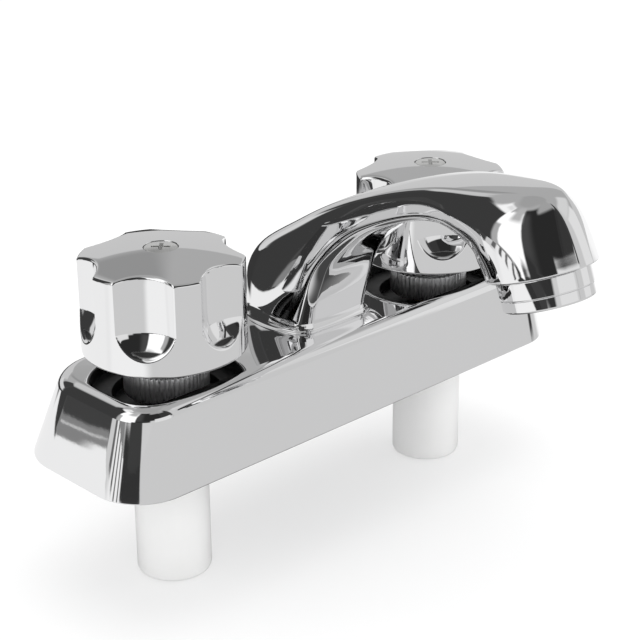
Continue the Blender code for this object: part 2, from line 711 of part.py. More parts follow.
def nozzle_washer(material):
    low = NOZZLE_NECK_LENGTH + CLEARANCE
    washer = turned("washer", [
        (NOZZLE_WASHER_HOLE, low), (NOZZLE_NECK_RADIUS, low),
        (NOZZLE_NECK_RADIUS, low + NOZZLE_WASHER), (NOZZLE_WASHER_HOLE, low + NOZZLE_WASHER)],
        SMALL_SIDES)
    return finish(move(washer, nozzle_frame()), "nozzle_washer", material)


# Valve cartridge, built on its own axis

DISC_RADIUS = CARTRIDGE_CHAMBER - CLEARANCE
SEAT_LOW = WELL_FLOOR + CLEARANCE
FIXED_LOW = SEAT_LOW + SEAT_SEAL_HEIGHT + CLEARANCE
MOVING_LOW = FIXED_LOW + DISC_THICKNESS + CLEARANCE
DRIVER_LOW = MOVING_LOW + DISC_THICKNESS + CLEARANCE
CHAMBER_TOP = DRIVER_LOW + DRIVE_BAR_HEIGHT + CLEARANCE
FLANGE_LOW = WELL_TOP + CLEARANCE
FLANGE_TOP = FLANGE_LOW + CARTRIDGE_FLANGE_THICKNESS
NUT_SHOULDER = FLANGE_TOP + CLEARANCE
KNOB_CEILING = KNOB_BOTTOM + KNOB_RECESS_DEPTH
KNOB_TOP = KNOB_RIM + KNOB_CROWN
SCREW_SEAT = KNOB_TOP - SCREW_HEAD_HEIGHT - CLEARANCE
SCREW_TIP = KNOB_TOP - SCREW_HEAD_HEIGHT - SCREW_LENGTH


def bonnet_nut():
    """Collar whose ribs stand all round it."""
    count = 2 * NUT_RIB_COUNT
    low = BASE_HEIGHT + CLEARANCE
    high = NUT_SHOULDER + NUT_FLANGE
    rings = []
    for height in (low, high):
        ring = []
        for i in range(count):
            radius = NUT_RADIUS - NUT_RIB_DEPTH * (i % 2)
            ring.append((*polar(radius, math.tau * i / count), height))
        rings.append(ring)
    nut = loft("nut", rings)
    bore = WELL_RADIUS + CLEARANCE
    hole = CARTRIDGE_NECK_RADIUS + CLEARANCE
    cut(nut, turned("nut_bore", [
        (0.0, low - CUT_OVERRUN), (bore, low - CUT_OVERRUN), (bore, NUT_SHOULDER), (hole, NUT_SHOULDER),
        (hole, high + CUT_OVERRUN), (0.0, high + CUT_OVERRUN)], SMALL_SIDES))
    return nut


def cartridge_body():
    bore = STEM_RADIUS + CLEARANCE
    groove = CARTRIDGE_RADIUS - CARTRIDGE_SEAL_DEPTH - CLEARANCE
    groove_low = CARTRIDGE_SEAL_HEIGHT - CARTRIDGE_SEAL_DEPTH / 2 - CLEARANCE
    groove_high = CARTRIDGE_SEAL_HEIGHT + CARTRIDGE_SEAL_DEPTH / 2 + CLEARANCE
    body = turned("cartridge", [
        (CARTRIDGE_CHAMBER, SEAT_LOW), (CARTRIDGE_RADIUS, SEAT_LOW),
        (CARTRIDGE_RADIUS, groove_low), (groove, groove_low), (groove, groove_high),
        (CARTRIDGE_RADIUS, groove_high), (CARTRIDGE_RADIUS, FLANGE_LOW),
        (WELL_RADIUS, FLANGE_LOW), (WELL_RADIUS, FLANGE_TOP), (CARTRIDGE_NECK_RADIUS, FLANGE_TOP),
        (CARTRIDGE_NECK_RADIUS, CARTRIDGE_NECK_TOP), (bore, CARTRIDGE_NECK_TOP),
        (bore, CHAMBER_TOP), (CARTRIDGE_CHAMBER, CHAMBER_TOP)], BORE_SIDES)
    middle = DRIVER_LOW + CARTRIDGE_WINDOW_HEIGHT / 2
    for turn in (0.0, math.pi / 2):
        cut(body, block("window", (0.03, CARTRIDGE_WINDOW_WIDTH, CARTRIDGE_WINDOW_HEIGHT),
                        (0.0, 0.0, middle), turn))
    return body


def cartridge_seal():
    return turned("cartridge_seal", ring_seal_profile(
        CARTRIDGE_RADIUS - CARTRIDGE_SEAL_DEPTH, CARTRIDGE_RADIUS, CARTRIDGE_SEAL_HEIGHT),
        BORE_SIDES)


def stem_seal():
    return turned("stem_seal", ring_seal_profile(
        STEM_RADIUS - STEM_SEAL_DEPTH, STEM_RADIUS, CARTRIDGE_SEAL_HEIGHT), BORE_SIDES)


def seat_seal():
    outer = CARTRIDGE_CHAMBER - CLEARANCE
    return turned("seat_seal", [
        (outer - SEAT_SEAL_WALL, SEAT_LOW), (outer, SEAT_LOW),
        (outer, SEAT_LOW + SEAT_SEAL_HEIGHT), (outer - SEAT_SEAL_WALL, SEAT_LOW + SEAT_SEAL_HEIGHT)],
        BORE_SIDES)


def valve_disc(low, turn):
    """Ceramic disc with two ports, opposite each other."""
    disc = cylinder("disc", DISC_RADIUS, low, low + DISC_THICKNESS, BORE_SIDES)
    for side in (-1, 1):
        x, y = polar(side * DISC_PORT_PLACE, turn)
        cut(disc, cylinder("port", DISC_PORT_RADIUS, low - CUT_OVERRUN, low + DISC_THICKNESS + CUT_OVERRUN,
                           HOLE_SIDES, (x, y)))
    return disc


def fixed_disc():
    return valve_disc(FIXED_LOW, 0.0)


def moving_disc():
    disc = valve_disc(MOVING_LOW, math.pi / 2)
    top = MOVING_LOW + DISC_THICKNESS
    slot = (DRIVE_BAR_LENGTH + 2 * CLEARANCE, DRIVE_BAR_WIDTH + 2 * CLEARANCE,
            2 * DRIVE_SLOT_DEPTH)
    return cut(disc, block("slot", slot, (0.0, 0.0, top)))


def serrated(name, radius, low, high):
    """Column of small teeth, the same on the stem and in the knob's socket."""
    count = 2 * SERRATION_COUNT
    rings = []
    for height in (low, high):
        rings.append([(*polar(radius - SERRATION_DEPTH * (i % 2), math.tau * (i + 0.5) / count),
                       height) for i in range(count)])
    return loft(name, rings)


def flute_start(flute_angle):
    """Angle of a ring's first point: the middle of the land before the first flute."""
    return -math.pi / 2 - flute_angle - math.pi / FLUTE_COUNT


def stem():
    groove = STEM_RADIUS - STEM_SEAL_DEPTH - CLEARANCE
    groove_low = CARTRIDGE_SEAL_HEIGHT - STEM_SEAL_DEPTH / 2 - CLEARANCE
    groove_high = CARTRIDGE_SEAL_HEIGHT + STEM_SEAL_DEPTH / 2 + CLEARANCE
    serrated_low = KNOB_CEILING + CLEARANCE
    bar_low = MOVING_LOW + DISC_THICKNESS - DRIVE_SLOT_DEPTH + CLEARANCE
    bar_top = DRIVER_LOW + DRIVE_BAR_HEIGHT
    body = turned("stem", [
        (0.0, bar_top - CUT_OVERRUN), (STEM_RADIUS, bar_top - CUT_OVERRUN), (STEM_RADIUS, groove_low),
        (groove, groove_low), (groove, groove_high), (STEM_RADIUS, groove_high),
        (STEM_RADIUS, serrated_low), (0.0, serrated_low)], BORE_SIDES)
    fuse(body, serrated("serration", STEM_RADIUS, serrated_low - 0.0005, STEM_TOP))
    fuse(body, block("drive_bar", (DRIVE_BAR_LENGTH, DRIVE_BAR_WIDTH, bar_top - bar_low),
                     (0.0, 0.0, (bar_low + bar_top) / 2)))
    return cut(body, cylinder("screw_hole", SCREW_SHANK_RADIUS + CLEARANCE,
                              SCREW_TIP - CLEARANCE, STEM_TOP + CUT_OVERRUN, HOLE_SIDES))


# Knob, built on its own axis

FLUTE_AXIS = KNOB_RADIUS + FLUTE_RADIUS - FLUTE_DEPTH


def crown_height(radius):
    """Height of the domed top at a distance from the axis."""
    return KNOB_TOP - KNOB_CROWN * (radius / KNOB_RADIUS) ** 2


def cutter_radius(height):
    """Radius of the flute at a height: straight above its end, round below it."""
    if height >= FLUTE_END:
        return FLUTE_RADIUS
    centre = FLUTE_END + math.sqrt(SCOOP_RADIUS ** 2 - FLUTE_RADIUS ** 2)
    return math.sqrt(max(SCOOP_RADIUS ** 2 - (centre - height) ** 2, 0.0))


def flute_half_angle(outside, cutter):
    """Half the angle that a flute takes up on the knob's round side."""
    share = (FLUTE_AXIS ** 2 + outside ** 2 - cutter ** 2) / (2 * FLUTE_AXIS * outside)
    return math.acos(min(share, 1.0))


def scoop_bottom():
    """Height at which the scoop runs out on the knob's round side."""
    centre = FLUTE_END + math.sqrt(SCOOP_RADIUS ** 2 - FLUTE_RADIUS ** 2)
    reach = FLUTE_AXIS - KNOB_RADIUS
    return centre - math.sqrt(SCOOP_RADIUS ** 2 - reach ** 2)


def knob_outline(start, inset, cutter, spread=None):
    """The knob's outline seen from above, as (radius, angle) from a land's middle on."""
    outside = KNOB_RADIUS - inset
    half = spread or flute_half_angle(outside, cutter + inset)
    pitch = math.tau / FLUTE_COUNT
    points = []
    for flute in range(FLUTE_COUNT):
        middle = start + pitch * (flute + 0.5)
        for i in range(LAND_STEPS // 2):
            share = i / (LAND_STEPS // 2)
            points.append((outside, middle - pitch / 2 + (pitch / 2 - half) * share))
        for i in range(FLUTE_STEPS + 1):
            away = half * (2 * i / FLUTE_STEPS - 1)
            inside = (cutter + inset) ** 2 - (FLUTE_AXIS * math.sin(away)) ** 2
            radius = outside
            if cutter > 0.0 and inside > 0.0:
                radius = min(outside, FLUTE_AXIS * math.cos(away) - math.sqrt(inside))
            points.append((radius, middle + away))
        for i in range(1, LAND_STEPS // 2):
            share = i / (LAND_STEPS // 2)
            points.append((outside, middle + half + (pitch / 2 - half) * share))
    return points


def knob(flute_angle):
    """Fluted blank, skinned ring by ring, with the bores cut into it."""
    start = flute_start(flute_angle)
    full = flute_half_angle(KNOB_RADIUS, FLUTE_RADIUS)
    rings = []

    def level(outline, height):
        rings.append([(*polar(radius, angle), height) for radius, angle in outline])

    def crown(outline, drop=0.0):
        rings.append([(*polar(radius, angle), crown_height(radius) - drop)
                      for radius, angle in outline])

    level(knob_outline(start, 0.0, 0.0, full), KNOB_BOTTOM)
    low = scoop_bottom()
    for i in range(SCOOP_STEPS + 1):
        share = (i + SCOOP_FIRST_STEP) / (SCOOP_STEPS + SCOOP_FIRST_STEP)
        height = low + (FLUTE_END - low) * share ** SCOOP_STEP_POWER
        level(knob_outline(start, 0.0, cutter_radius(height)), height)
    crown(knob_outline(start, 0.0, FLUTE_RADIUS), KNOB_EDGE)
    edge = knob_outline(start, KNOB_EDGE, FLUTE_RADIUS)
    crown(edge)
    recess = SCREW_HEAD_RADIUS + SCREW_RECESS_GAP
    inner = recess * 0.8
    crown([((radius + inner) / 2, angle) for radius, angle in edge])
    crown([(inner, angle) for radius, angle in edge])
    blank = loft("knob", rings)
    hole = SCREW_SHANK_RADIUS + CLEARANCE
    socket_top = STEM_TOP + CLEARANCE
    cut(blank, cylinder("hollow", KNOB_RECESS_RADIUS, KNOB_BOTTOM - CUT_OVERRUN, KNOB_CEILING))
    cut(blank, serrated("socket", STEM_RADIUS + CLEARANCE, KNOB_CEILING - CUT_OVERRUN, socket_top))
    return cut(blank, turned("screw_bore", [
        (0.0, socket_top - CUT_OVERRUN), (hole, socket_top - CUT_OVERRUN), (hole, SCREW_SEAT),
        (recess, SCREW_SEAT), (recess, KNOB_TOP + CUT_OVERRUN), (0.0, KNOB_TOP + CUT_OVERRUN)],
        SMALL_SIDES))


def knob_screw():
    seat = SCREW_SEAT + CLEARANCE
    edge = SCREW_HEAD_EDGE
    screw = turned("knob_screw", [
        (0.0, SCREW_TIP), (SCREW_SHANK_RADIUS * 0.6, SCREW_TIP),
        (SCREW_SHANK_RADIUS, SCREW_TIP + SCREW_POINT), (SCREW_SHANK_RADIUS, seat),
        (SCREW_HEAD_RADIUS, seat), (SCREW_HEAD_RADIUS, KNOB_TOP - edge),
        (SCREW_HEAD_RADIUS - edge, KNOB_TOP), (0.0, KNOB_TOP)], SMALL_SIDES)
    for turn in (math.pi / 4, -math.pi / 4):
        cut(screw, block("cross", (SCREW_CROSS_LENGTH, SCREW_CROSS_WIDTH, 2 * SCREW_CROSS_DEPTH),
                         (0.0, 0.0, KNOB_TOP), turn))
    return screw


# Run

def build():
    clear_scene()
    chrome = make_material("polished_chrome", CHROME)
    white = make_material("white_plastic", WHITE_PLASTIC)
    grey = make_material("grey_plastic", GREY_PLASTIC)
    foam = make_material("grey_foam", GREY_FOAM)
    steel = make_material("bright_steel", STEEL)
    rubber = make_material("black_rubber", BLACK_RUBBER)
    brass = make_material("brass", BRASS)
    ceramic = make_material("ceramic", CERAMIC)

    body_shell(chrome)
    waterway_underbody(white)
    deck_gasket(foam)
    underbody_screws(steel)
    riser_seal(rubber)
    nozzle_ring(chrome)
    flow_straightener(grey)
    nozzle_washer(rubber)

    for side, prefix, flute_angle in ((-1, "hot", HOT_FLUTE_ANGLE), (1, "cold", COLD_FLUTE_ANGLE)):
        pieces = (
            ("bonnet_nut", bonnet_nut(), chrome),
            ("cartridge_body", cartridge_body(), brass),
            ("cartridge_seal", cartridge_seal(), rubber),
            ("seat_seal", seat_seal(), rubber),
            ("fixed_disc", fixed_disc(), ceramic),
            ("moving_disc", moving_disc(), ceramic),
            ("stem", stem(), brass),
            ("stem_seal", stem_seal(), rubber),
            ("knob", knob(flute_angle), chrome),
            ("knob_screw", knob_screw(), steel),
        )
        for name, item, material in pieces:
            finish(item, f"{prefix}_{name}", material)
            item.location = (side * VALVE_SPACING / 2, 0.0, 0.0)


if __name__ == "__main__":
    build()
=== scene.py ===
"""Looks of a two-handle centerset washbasin faucet: plated skins, finishes and the studio round it.

Metres, +Z up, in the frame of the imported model. X runs along the base, the spout points to -Y and
z = 0 is the deck that the base stands on. Every piece keeps its place in its mesh.
"""
import json
from math import atan2, cos, degrees, hypot, pi, radians, sin, sqrt, tau

import bmesh
import bpy
from bpy.props import FloatProperty, FloatVectorProperty, IntProperty, PointerProperty
from mathutils import Matrix, Vector


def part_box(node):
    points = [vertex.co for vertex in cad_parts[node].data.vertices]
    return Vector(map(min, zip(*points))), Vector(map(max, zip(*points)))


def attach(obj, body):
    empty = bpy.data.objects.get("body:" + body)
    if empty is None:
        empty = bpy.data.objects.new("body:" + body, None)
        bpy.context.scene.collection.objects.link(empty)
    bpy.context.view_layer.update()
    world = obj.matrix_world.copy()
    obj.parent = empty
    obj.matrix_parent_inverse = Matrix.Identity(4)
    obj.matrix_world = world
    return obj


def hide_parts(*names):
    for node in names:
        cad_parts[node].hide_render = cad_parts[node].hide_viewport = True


bl_info = {
    "name": "Centerset Faucet",
    "version": (1, 0, 0),
    "blender": (4, 5, 0),
    "location": "View3D > Sidebar > Faucet",
    "description": "Models the plated skins, finishes and studio of a two-handle centerset faucet",
    "category": "Add Mesh",
}

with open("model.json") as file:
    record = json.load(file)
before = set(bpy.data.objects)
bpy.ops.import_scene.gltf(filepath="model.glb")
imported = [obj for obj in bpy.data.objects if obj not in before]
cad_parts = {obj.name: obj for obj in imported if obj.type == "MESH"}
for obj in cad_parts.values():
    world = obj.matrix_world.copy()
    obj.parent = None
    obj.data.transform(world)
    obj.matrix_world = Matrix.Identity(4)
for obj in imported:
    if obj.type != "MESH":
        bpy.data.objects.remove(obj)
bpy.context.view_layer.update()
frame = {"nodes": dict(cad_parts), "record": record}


def cad_size(node):
    low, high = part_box(node)
    return high - low


# Layout shared by the pieces
VALVE_X = 0.0508
CLEARANCE = 0.0003
OVERRUN = 0.001
KNOB_AXES = {"hot": -VALVE_X, "cold": VALVE_X}

# Base casting
BASE_FRONT = 0.0256
BASE_BACK = 0.0286
END_DRAFT = 0.0060
FRONT_DRAFT = 0.0036
BACK_DRAFT = 0.0088
FRONT_CORNER = 0.0143
BACK_CORNER = 0.0177
WALL = 0.0026
CORNER_STEPS = 14
EDGE_STEPS = 8
LOWER_EDGE = 0.0003

# Spout
FOOT_FRONT = 0.0128
FOOT_BACK = 0.0168
FOOT_HALF_WIDTH = 0.0148
FILLET_STEPS = 9
FILLET_SINK = 0.00003
FOOT_DEPTH = 0.0040
ARCH_HALF_WIDTH = 0.0108
ARCH_UNDERSIDE = 0.0656
ARCH_REACH = 0.0565
RIDGE_HEIGHT = 0.0783
HEAD_REACH = 0.0830
HEAD_HEIGHT = 0.0577
HEAD_RADIUS = 0.0140
HEAD_TILT = radians(19.0)
NOSE_HALF_WIDTH = 0.0024
RIM_EDGE = 0.0004
SPOUT_STEPS = 6
CAVITY_STEPS = 3

# Waterway
SHANK_RADIUS = 0.0102
SHANK_BORE = 0.0074
SHANK_CHAMFER = 0.0010
SHANK_FLANGE_RADIUS = 0.0135
SHANK_FLANGE_THICKNESS = 0.0030
SEAT_HEIGHT = 0.0033
WELL_RADIUS = 0.0096
WELL_BORE = 0.0079
WELL_FLOOR = 0.0080
WELL_FLOOR_THICKNESS = 0.0035
WELL_TOP = 0.0270
INLET_PORT = 0.0036
CHANNEL_RADIUS = 0.0058
CHANNEL_BORE = 0.0038
CHANNEL_HEIGHT = 0.0135
RISER_PLACE = 0.0030
RISER_RADIUS = 0.0062
RISER_BORE = 0.0034
RISER_TOP = 0.0268
RISER_HUB_RADIUS = 0.0088
RISER_HUB_BOTTOM = 0.0060
RISER_HUB_TOP = 0.0196
RISER_GROOVE = (0.0237, 0.0259)
RISER_GROOVE_RADIUS = 0.0044
PLATE_X = 0.0276
PLATE_Y = 0.0151
PLATE_CORNER = 0.0046
PLATE_BOTTOM = 0.0089
PLATE_THICKNESS = 0.0028
SCREW_PLACE_X = 0.0230
SCREW_PLACE_Y = 0.0105
POST_RADIUS = 0.0034
POST_HOLE = 0.0014
PLATE_HOLE = 0.0014
SMALL_HEAD_RADIUS = 0.0030
SMALL_HEAD_HEIGHT = 0.0018
SMALL_SHANK_RADIUS = 0.0011
SMALL_SCREW_LENGTH = 0.0085
SMALL_SCREW_PITCH = 0.0006
SMALL_SLOT = (0.0032, 0.0007, 0.0018, 1.0)
SMALL_SLOT_TURN = 0.3

# Nozzle
NOZZLE_NECK_RADIUS = 0.0101
NOZZLE_NECK_LENGTH = 0.0062
NOZZLE_BORE = 0.0086
NOZZLE_LIP = 0.0010
NOZZLE_WASHER = 0.0014
NOZZLE_STEP = 0.00025
NOZZLE_EDGE = 0.0006
OUTLET_PASSAGE = 0.0078
OUTLET_LENGTH = 0.0055
SOCKET_HEIGHT = 0.0080
STRAIGHTENER_FLOOR = 0.0030
STRAIGHTENER_WALL = 0.0010
HONEYCOMB_PITCH = 0.00235
HONEYCOMB_HOLE = 0.00118
HONEYCOMB_RINGS = 3

# Collars
COLLAR_BOTTOM = 0.0239
COLLAR_TOP = 0.0312
COLLAR_SHOULDER = 0.0292
COLLAR_BORE = 0.0099
COLLAR_HOLE = 0.0056
COLLAR_EDGE = 0.00035
COLLAR_SMOOTH_ANGLE = radians(38.0)
POINTS_PER_RIB = 8

# Knobs and their screws
KNOB_RECESS_RADIUS = 0.0146
KNOB_CEILING = 0.0345
KNOB_HOLLOW_RADIUS = 0.0203
KNOB_HOLLOW_TOP = 0.0315
KNOB_BORE_RADIUS = 0.0037
KNOB_SOCKET_TOP = 0.0493
FLUTE_COUNT = 6
FLUTE_AXIS = 0.02922
FLUTE_ANGLES = {"hot": radians(52.0), "cold": radians(36.0)}
KNOB_SIDES = 432
EDGE_BLEND = 0.00028
SCOOP_STEPS = 30
CROWN_STEPS = 14
SCREW_HEAD_RADIUS = 0.00445
SCREW_HEAD_HEIGHT = 0.0024
SCREW_SHANK_RADIUS = 0.0019
SCREW_LENGTH = 0.0145
SCREW_PITCH = 0.0008
SCREW_EDGE = 0.0003
SCREW_RECESS_GAP = 0.00012
CROSS_WIDTH = 0.0011
CROSS_LENGTH = 0.0052
CROSS_DEPTH = 0.0015

SMOOTH_ANGLE = radians(30.0)
WHITE = (1.0, 1.0, 1.0, 1.0)


# Selection and small steps of modelling

def deselect():
    bpy.ops.object.select_all(action="DESELECT")


def pick(piece):
    """Select one object alone and make it active."""
    deselect()
    piece.select_set(True)
    bpy.context.view_layer.objects.active = piece


def started(name, add, **settings):
    """Add a primitive with nothing else selected, and name it."""
    deselect()
    add(**settings)
    piece = bpy.context.object
    piece.name = name
    return piece


def edit(piece, action="SELECT"):
    """Enter edit mode on one object, with all or nothing selected, and give its mesh."""
    pick(piece)
    bpy.ops.object.mode_set(mode="EDIT")
    bpy.ops.mesh.select_all(action=action)
    return bmesh.from_edit_mesh(piece.data)


def leave_edit(piece):
    bmesh.update_edit_mesh(piece.data)
    bpy.ops.object.mode_set(mode="OBJECT")


def close_up(piece):
    """Merge doubles, drop what has no area, and turn every face outwards."""
    edit(piece)
    bpy.ops.mesh.remove_doubles(threshold=1e-6)
    bpy.ops.mesh.dissolve_degenerate(threshold=1e-6)
    bpy.ops.mesh.normals_make_consistent(inside=False)
    leave_edit(piece)
    return piece


def drawn(name, points, fill):
    """Polygon through the points, filled or as a bare outline."""
    piece = started(name, bpy.ops.mesh.primitive_circle_add, vertices=len(points), radius=1.0,
                    fill_type=fill)
    for vertex, place in zip(piece.data.vertices, points):
        vertex.co = place
    return piece


def skin(name, rings):
    """Start on the first ring as a filled polygon, and extrude it from ring to ring."""
    piece = drawn(name, rings[0], "NGON")
    edit(piece)
    order = list(range(len(rings[0])))
    for ring in rings[1:]:
        bpy.ops.mesh.extrude_region()
        mesh = bmesh.from_edit_mesh(piece.data)
        mesh.verts.ensure_lookup_table()
        mesh.verts.index_update()
        following = []
        for corner in [mesh.verts[index] for index in order]:
            others = [edge.other_vert(corner) for edge in corner.link_edges]
            following += [other for other in others if other.select and not corner.select]
        for vertex, place in zip(following, ring):
            vertex.co = place
        order = [vertex.index for vertex in following]
    leave_edit(piece)
    return close_up(piece)


def spun(name, outline, sides, place=(0.0, 0.0, 0.0)):
    """Draw an outline of (radius, height) points and spin it once round Z."""
    piece = drawn(name, [(radius, 0.0, height) for radius, height in outline], "NOTHING")
    mesh = edit(piece, "DESELECT")
    for edge in mesh.edges:
        edge.select_set(max(vertex.co.x for vertex in edge.verts) < 1e-7)
    bpy.ops.mesh.delete(type="EDGE")
    bpy.ops.mesh.select_all(action="SELECT")
    bpy.ops.mesh.spin(steps=sides, angle=tau, center=(0.0, 0.0, 0.0), axis=(0.0, 0.0, 1.0))
    leave_edit(piece)
    return close_up(moved(piece, Matrix.Translation(place)))


def stepped(low, *steps):
    """Outline that goes up from low in steps of (radius, top), or of (radius, top, top radius)."""
    outline = [(0.0, low)]
    for radius, top, *narrowed in steps:
        outline += [(radius, outline[-1][1]), (*(narrowed or [radius]), top)]
    return [*outline, (0.0, outline[-1][1])]


def thread(radius, root, low, high, pitch):
    """Outline of the turns of a thread between two heights."""
    outline = []
    while low < high:
        outline += [(root, low), (radius, low + pitch / 2)]
        low += pitch
    return outline


def quarter(steps):
    """Sine and cosine of even steps through a right angle."""
    turns = [pi / 2 * i / steps for i in range(steps + 1)]
    return [(sin(turn), cos(turn)) for turn in turns]


def rod(name, radius, low, high, sides, place=(0.0, 0.0)):
    """Plain round bar, used to bore holes and to raise posts."""
    piece = started(name, bpy.ops.mesh.primitive_cylinder_add, vertices=sides, radius=radius,
                    depth=high - low, location=(*place, (low + high) / 2))
    bpy.ops.object.transform_apply()
    return piece


def rods(name, radius, low, high, sides, places):
    """Equal bars that don't touch, as one object."""
    bars = [rod(name, radius, low, high, sides, place) for place in places]
    for bar in bars:
        bar.select_set(True)
    bpy.ops.object.join()
    return bpy.context.object


def moved(piece, matrix):
    piece.data.transform(matrix)
    return piece


def shifted(piece, x=0.0, y=0.0, z=0.0):
    return moved(piece, Matrix.Translation((x, y, z)))


def combine(piece, tool, operation):
    pick(piece)
    modifier = piece.modifiers.new("Combine", "BOOLEAN")
    modifier.object = tool
    modifier.operation = operation
    modifier.solver = "EXACT"
    bpy.ops.object.modifier_apply(modifier=modifier.name)
    bpy.data.objects.remove(tool, do_unlink=True)
    if not piece.data.polygons:
        raise RuntimeError(f"nothing is left of {piece.name} after {operation}")


def cut(piece, tool):
    combine(piece, tool, "DIFFERENCE")


def fuse(piece, tool):
    combine(piece, tool, "UNION")


def complete(piece, body, slot, node, finish=None, angle=SMOOTH_ANGLE):
    """Shade the piece, give it its finish, and let it stand for its node."""
    close_up(piece)
    bpy.ops.object.shade_smooth_by_angle(angle=angle)
    weighted = piece.modifiers.new("Even shading", "WEIGHTED_NORMAL")
    weighted.keep_sharp = True
    weighted.weight = 60
    bpy.ops.object.modifier_apply(modifier=weighted.name)
    piece.data.materials.clear()
    piece.data.materials.append(finish_for(finish or "finish_" + slot))
    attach(piece, body)
    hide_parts(node)


def polar(radius, angle):
    return radius * cos(angle), radius * sin(angle)


def nozzle_frame():
    """Local +Z points up into the head from the centre of its rim."""
    turn = Matrix.Rotation(-HEAD_TILT, 4, "X")
    return Matrix.Translation((0.0, -HEAD_REACH, HEAD_HEIGHT)) @ turn


def screw_places():
    return [(x * SCREW_PLACE_X, y * SCREW_PLACE_Y) for x in (-1, 1) for y in (-1, 1)]


# Shader maths

def forward(operation):
    return lambda self, other: self.graph.math(operation, self, other)


def reflected(operation):
    return lambda self, other: self.graph.math(operation, other, self)


class Value:
    """A shader socket that takes part in Python sums."""
    __add__, __radd__ = forward("ADD"), reflected("ADD")
    __sub__, __rsub__ = forward("SUBTRACT"), reflected("SUBTRACT")
    __mul__, __rmul__ = forward("MULTIPLY"), reflected("MULTIPLY")
    __pow__ = forward("POWER")

    def __init__(self, graph, socket):
        self.graph = graph
        self.socket = socket

    def part(self, name):
        """Another output of the same node."""
        return Value(self.graph, self.socket.node.outputs[name])


class Graph:
    """A node tree that is emptied and then filled node by node."""

    def __init__(self, tree):
        self.tree = tree
        tree.nodes.clear()

    def node(self, kind, settings=None, inputs=None, output=0):
        """Add a node: settings first, then the values or links of its sockets."""
        made = self.tree.nodes.new("ShaderNode" + kind)
        for name, setting in (settings or {}).items():
            setattr(made, name, setting)
        for key, given in (inputs or {}).items():
            if isinstance(given, Value):
                self.tree.links.new(given.socket, made.inputs[key])
            else:
                made.inputs[key].default_value = given
        return Value(self, made.outputs[output]) if made.outputs else made

    def math(self, operation, *values):
        return self.node("Math", {"operation": operation}, dict(enumerate(values)))

    def place(self):
        return self.node("TexCoord", output="Object")

    def noise(self, scale, detail=2.0, roughness=0.5):
        return self.node("TexNoise", None, {
            "Vector": self.place(), "Scale": scale, "Detail": detail, "Roughness": roughness})

    def step(self, value, low, high):
        """0 at low and 1 at high, with a smooth rise between them."""
        return self.node("MapRange", {"interpolation_type": "SMOOTHSTEP"}, {
            "Value": value, "From Min": low, "From Max": high, "To Min": 0.0, "To Max": 1.0})

    def angle(self, up, along):
        """Degrees of the direction that goes up by one value and along by the other."""
        return self.math("ARCTAN2", up, along) * degrees(1.0)

    def mix(self, share, first, second):
        return self.node("Mix", {"data_type": "RGBA"}, {
            0: share, 6: first, 7: second}, output=2)

    def tint(self, share, colour, first, second):
        """A colour that goes from one depth of shade to another."""
        return self.mix(share, shade(colour, first), shade(colour, second))

    def bump(self, height, strength, distance):
        return self.node("Bump", None, {
            "Height": height, "Strength": strength, "Distance": distance})

    def seen(self):
        """1 for what the camera, a mirror or glass sees, 0 for light that falls on the object."""
        path = self.node("LightPath", output="Is Camera Ray")
        return path + path.part("Is Glossy Ray") + path.part("Is Transmission Ray")

    def glow(self, colour):
        return self.node("Emission", None, {"Color": colour, "Strength": 1.0})

    def show(self, surface, kind="Material"):
        self.node("Output" + kind, None, {"Surface": surface})


def shade(colour, factor):
    return (colour[0] * factor, colour[1] * factor, colour[2] * factor, 1.0)


def new_finish(name):
    material = bpy.data.materials.new(name)
    material.use_nodes = True
    return material, Graph(material.node_tree)


# Finishes: each gives its colour, roughness and normal, as they change over the surface

def chrome(graph, colour, roughness):
    """Bright plate over a polished casting, with the faint waves of buffing."""
    cloud = graph.noise(34.0, 2.0)
    haze = graph.noise(210.0, 4.0, 0.6)
    waves = graph.noise(46.0, 1.0)
    smear = graph.step(graph.noise(18.0, 3.0), 0.55, 0.80)
    return (graph.tint(cloud, colour, 0.985, 1.0),
            roughness + 0.012 * haze + 0.020 * smear,
            graph.bump(waves + 0.06 * haze, 0.10, 0.0006))


def ribbed_chrome(graph, colour, roughness):
    """Plating over rolled ribs: duller than the polished casting."""
    grain = graph.noise(700.0, 3.0)
    return (shade(colour, 1.0),
            roughness + 0.08 * grain,
            graph.bump(grain, 0.15, 0.0003))


def knob_chrome_with_painted_shade(graph, colour, roughness):
    """Plating that gives way in the hollow under the knob to a dark colour, which is painted shade,
    and to the rougher unplated casting.
    """
    plated, dull, normal = chrome(graph, colour, roughness)
    x = graph.node("SeparateXYZ", None, {0: graph.place()}, output="X")
    aside = graph.math("ABSOLUTE", x) - VALVE_X
    y = x.part("Y")
    radius = (aside * aside + y * y) ** 0.5
    # Mask of the knob's hollow: the dark colour it mixes in is painted shade, and the roughness it
    # adds is the unplated casting.
    bare_and_painted_shade = (graph.step(radius, KNOB_HOLLOW_RADIUS + 0.0008, KNOB_HOLLOW_RADIUS + 0.0003) *
            graph.step(x.part("Z"), KNOB_CEILING + 0.0006, KNOB_CEILING + 0.0002))
    grit = graph.noise(900.0, 4.0, 0.6)
    # Painted shade: the dark colour that the hollow under the knob takes.
    casting = shade(bpy.context.scene.faucet_finishes.hollow_shade_colour, 1.0)
    return graph.mix(bare_and_painted_shade, plated, casting), dull + bare_and_painted_shade * (0.45 + 0.2 * grit), normal


def plastic(graph, colour, roughness):
    """Acetal with the fine grain of its mould and faint flow marks."""
    grain = graph.noise(2600.0, 3.0, 0.6)
    flow = graph.noise(90.0, 2.0)
    scuff = graph.step(graph.noise(55.0, 4.0), 0.60, 0.78)
    return (graph.tint(flow, colour, 0.955, 1.0),
            roughness + 0.08 * flow + 0.14 * scuff,
            graph.bump(grain, 0.12, 0.00008))


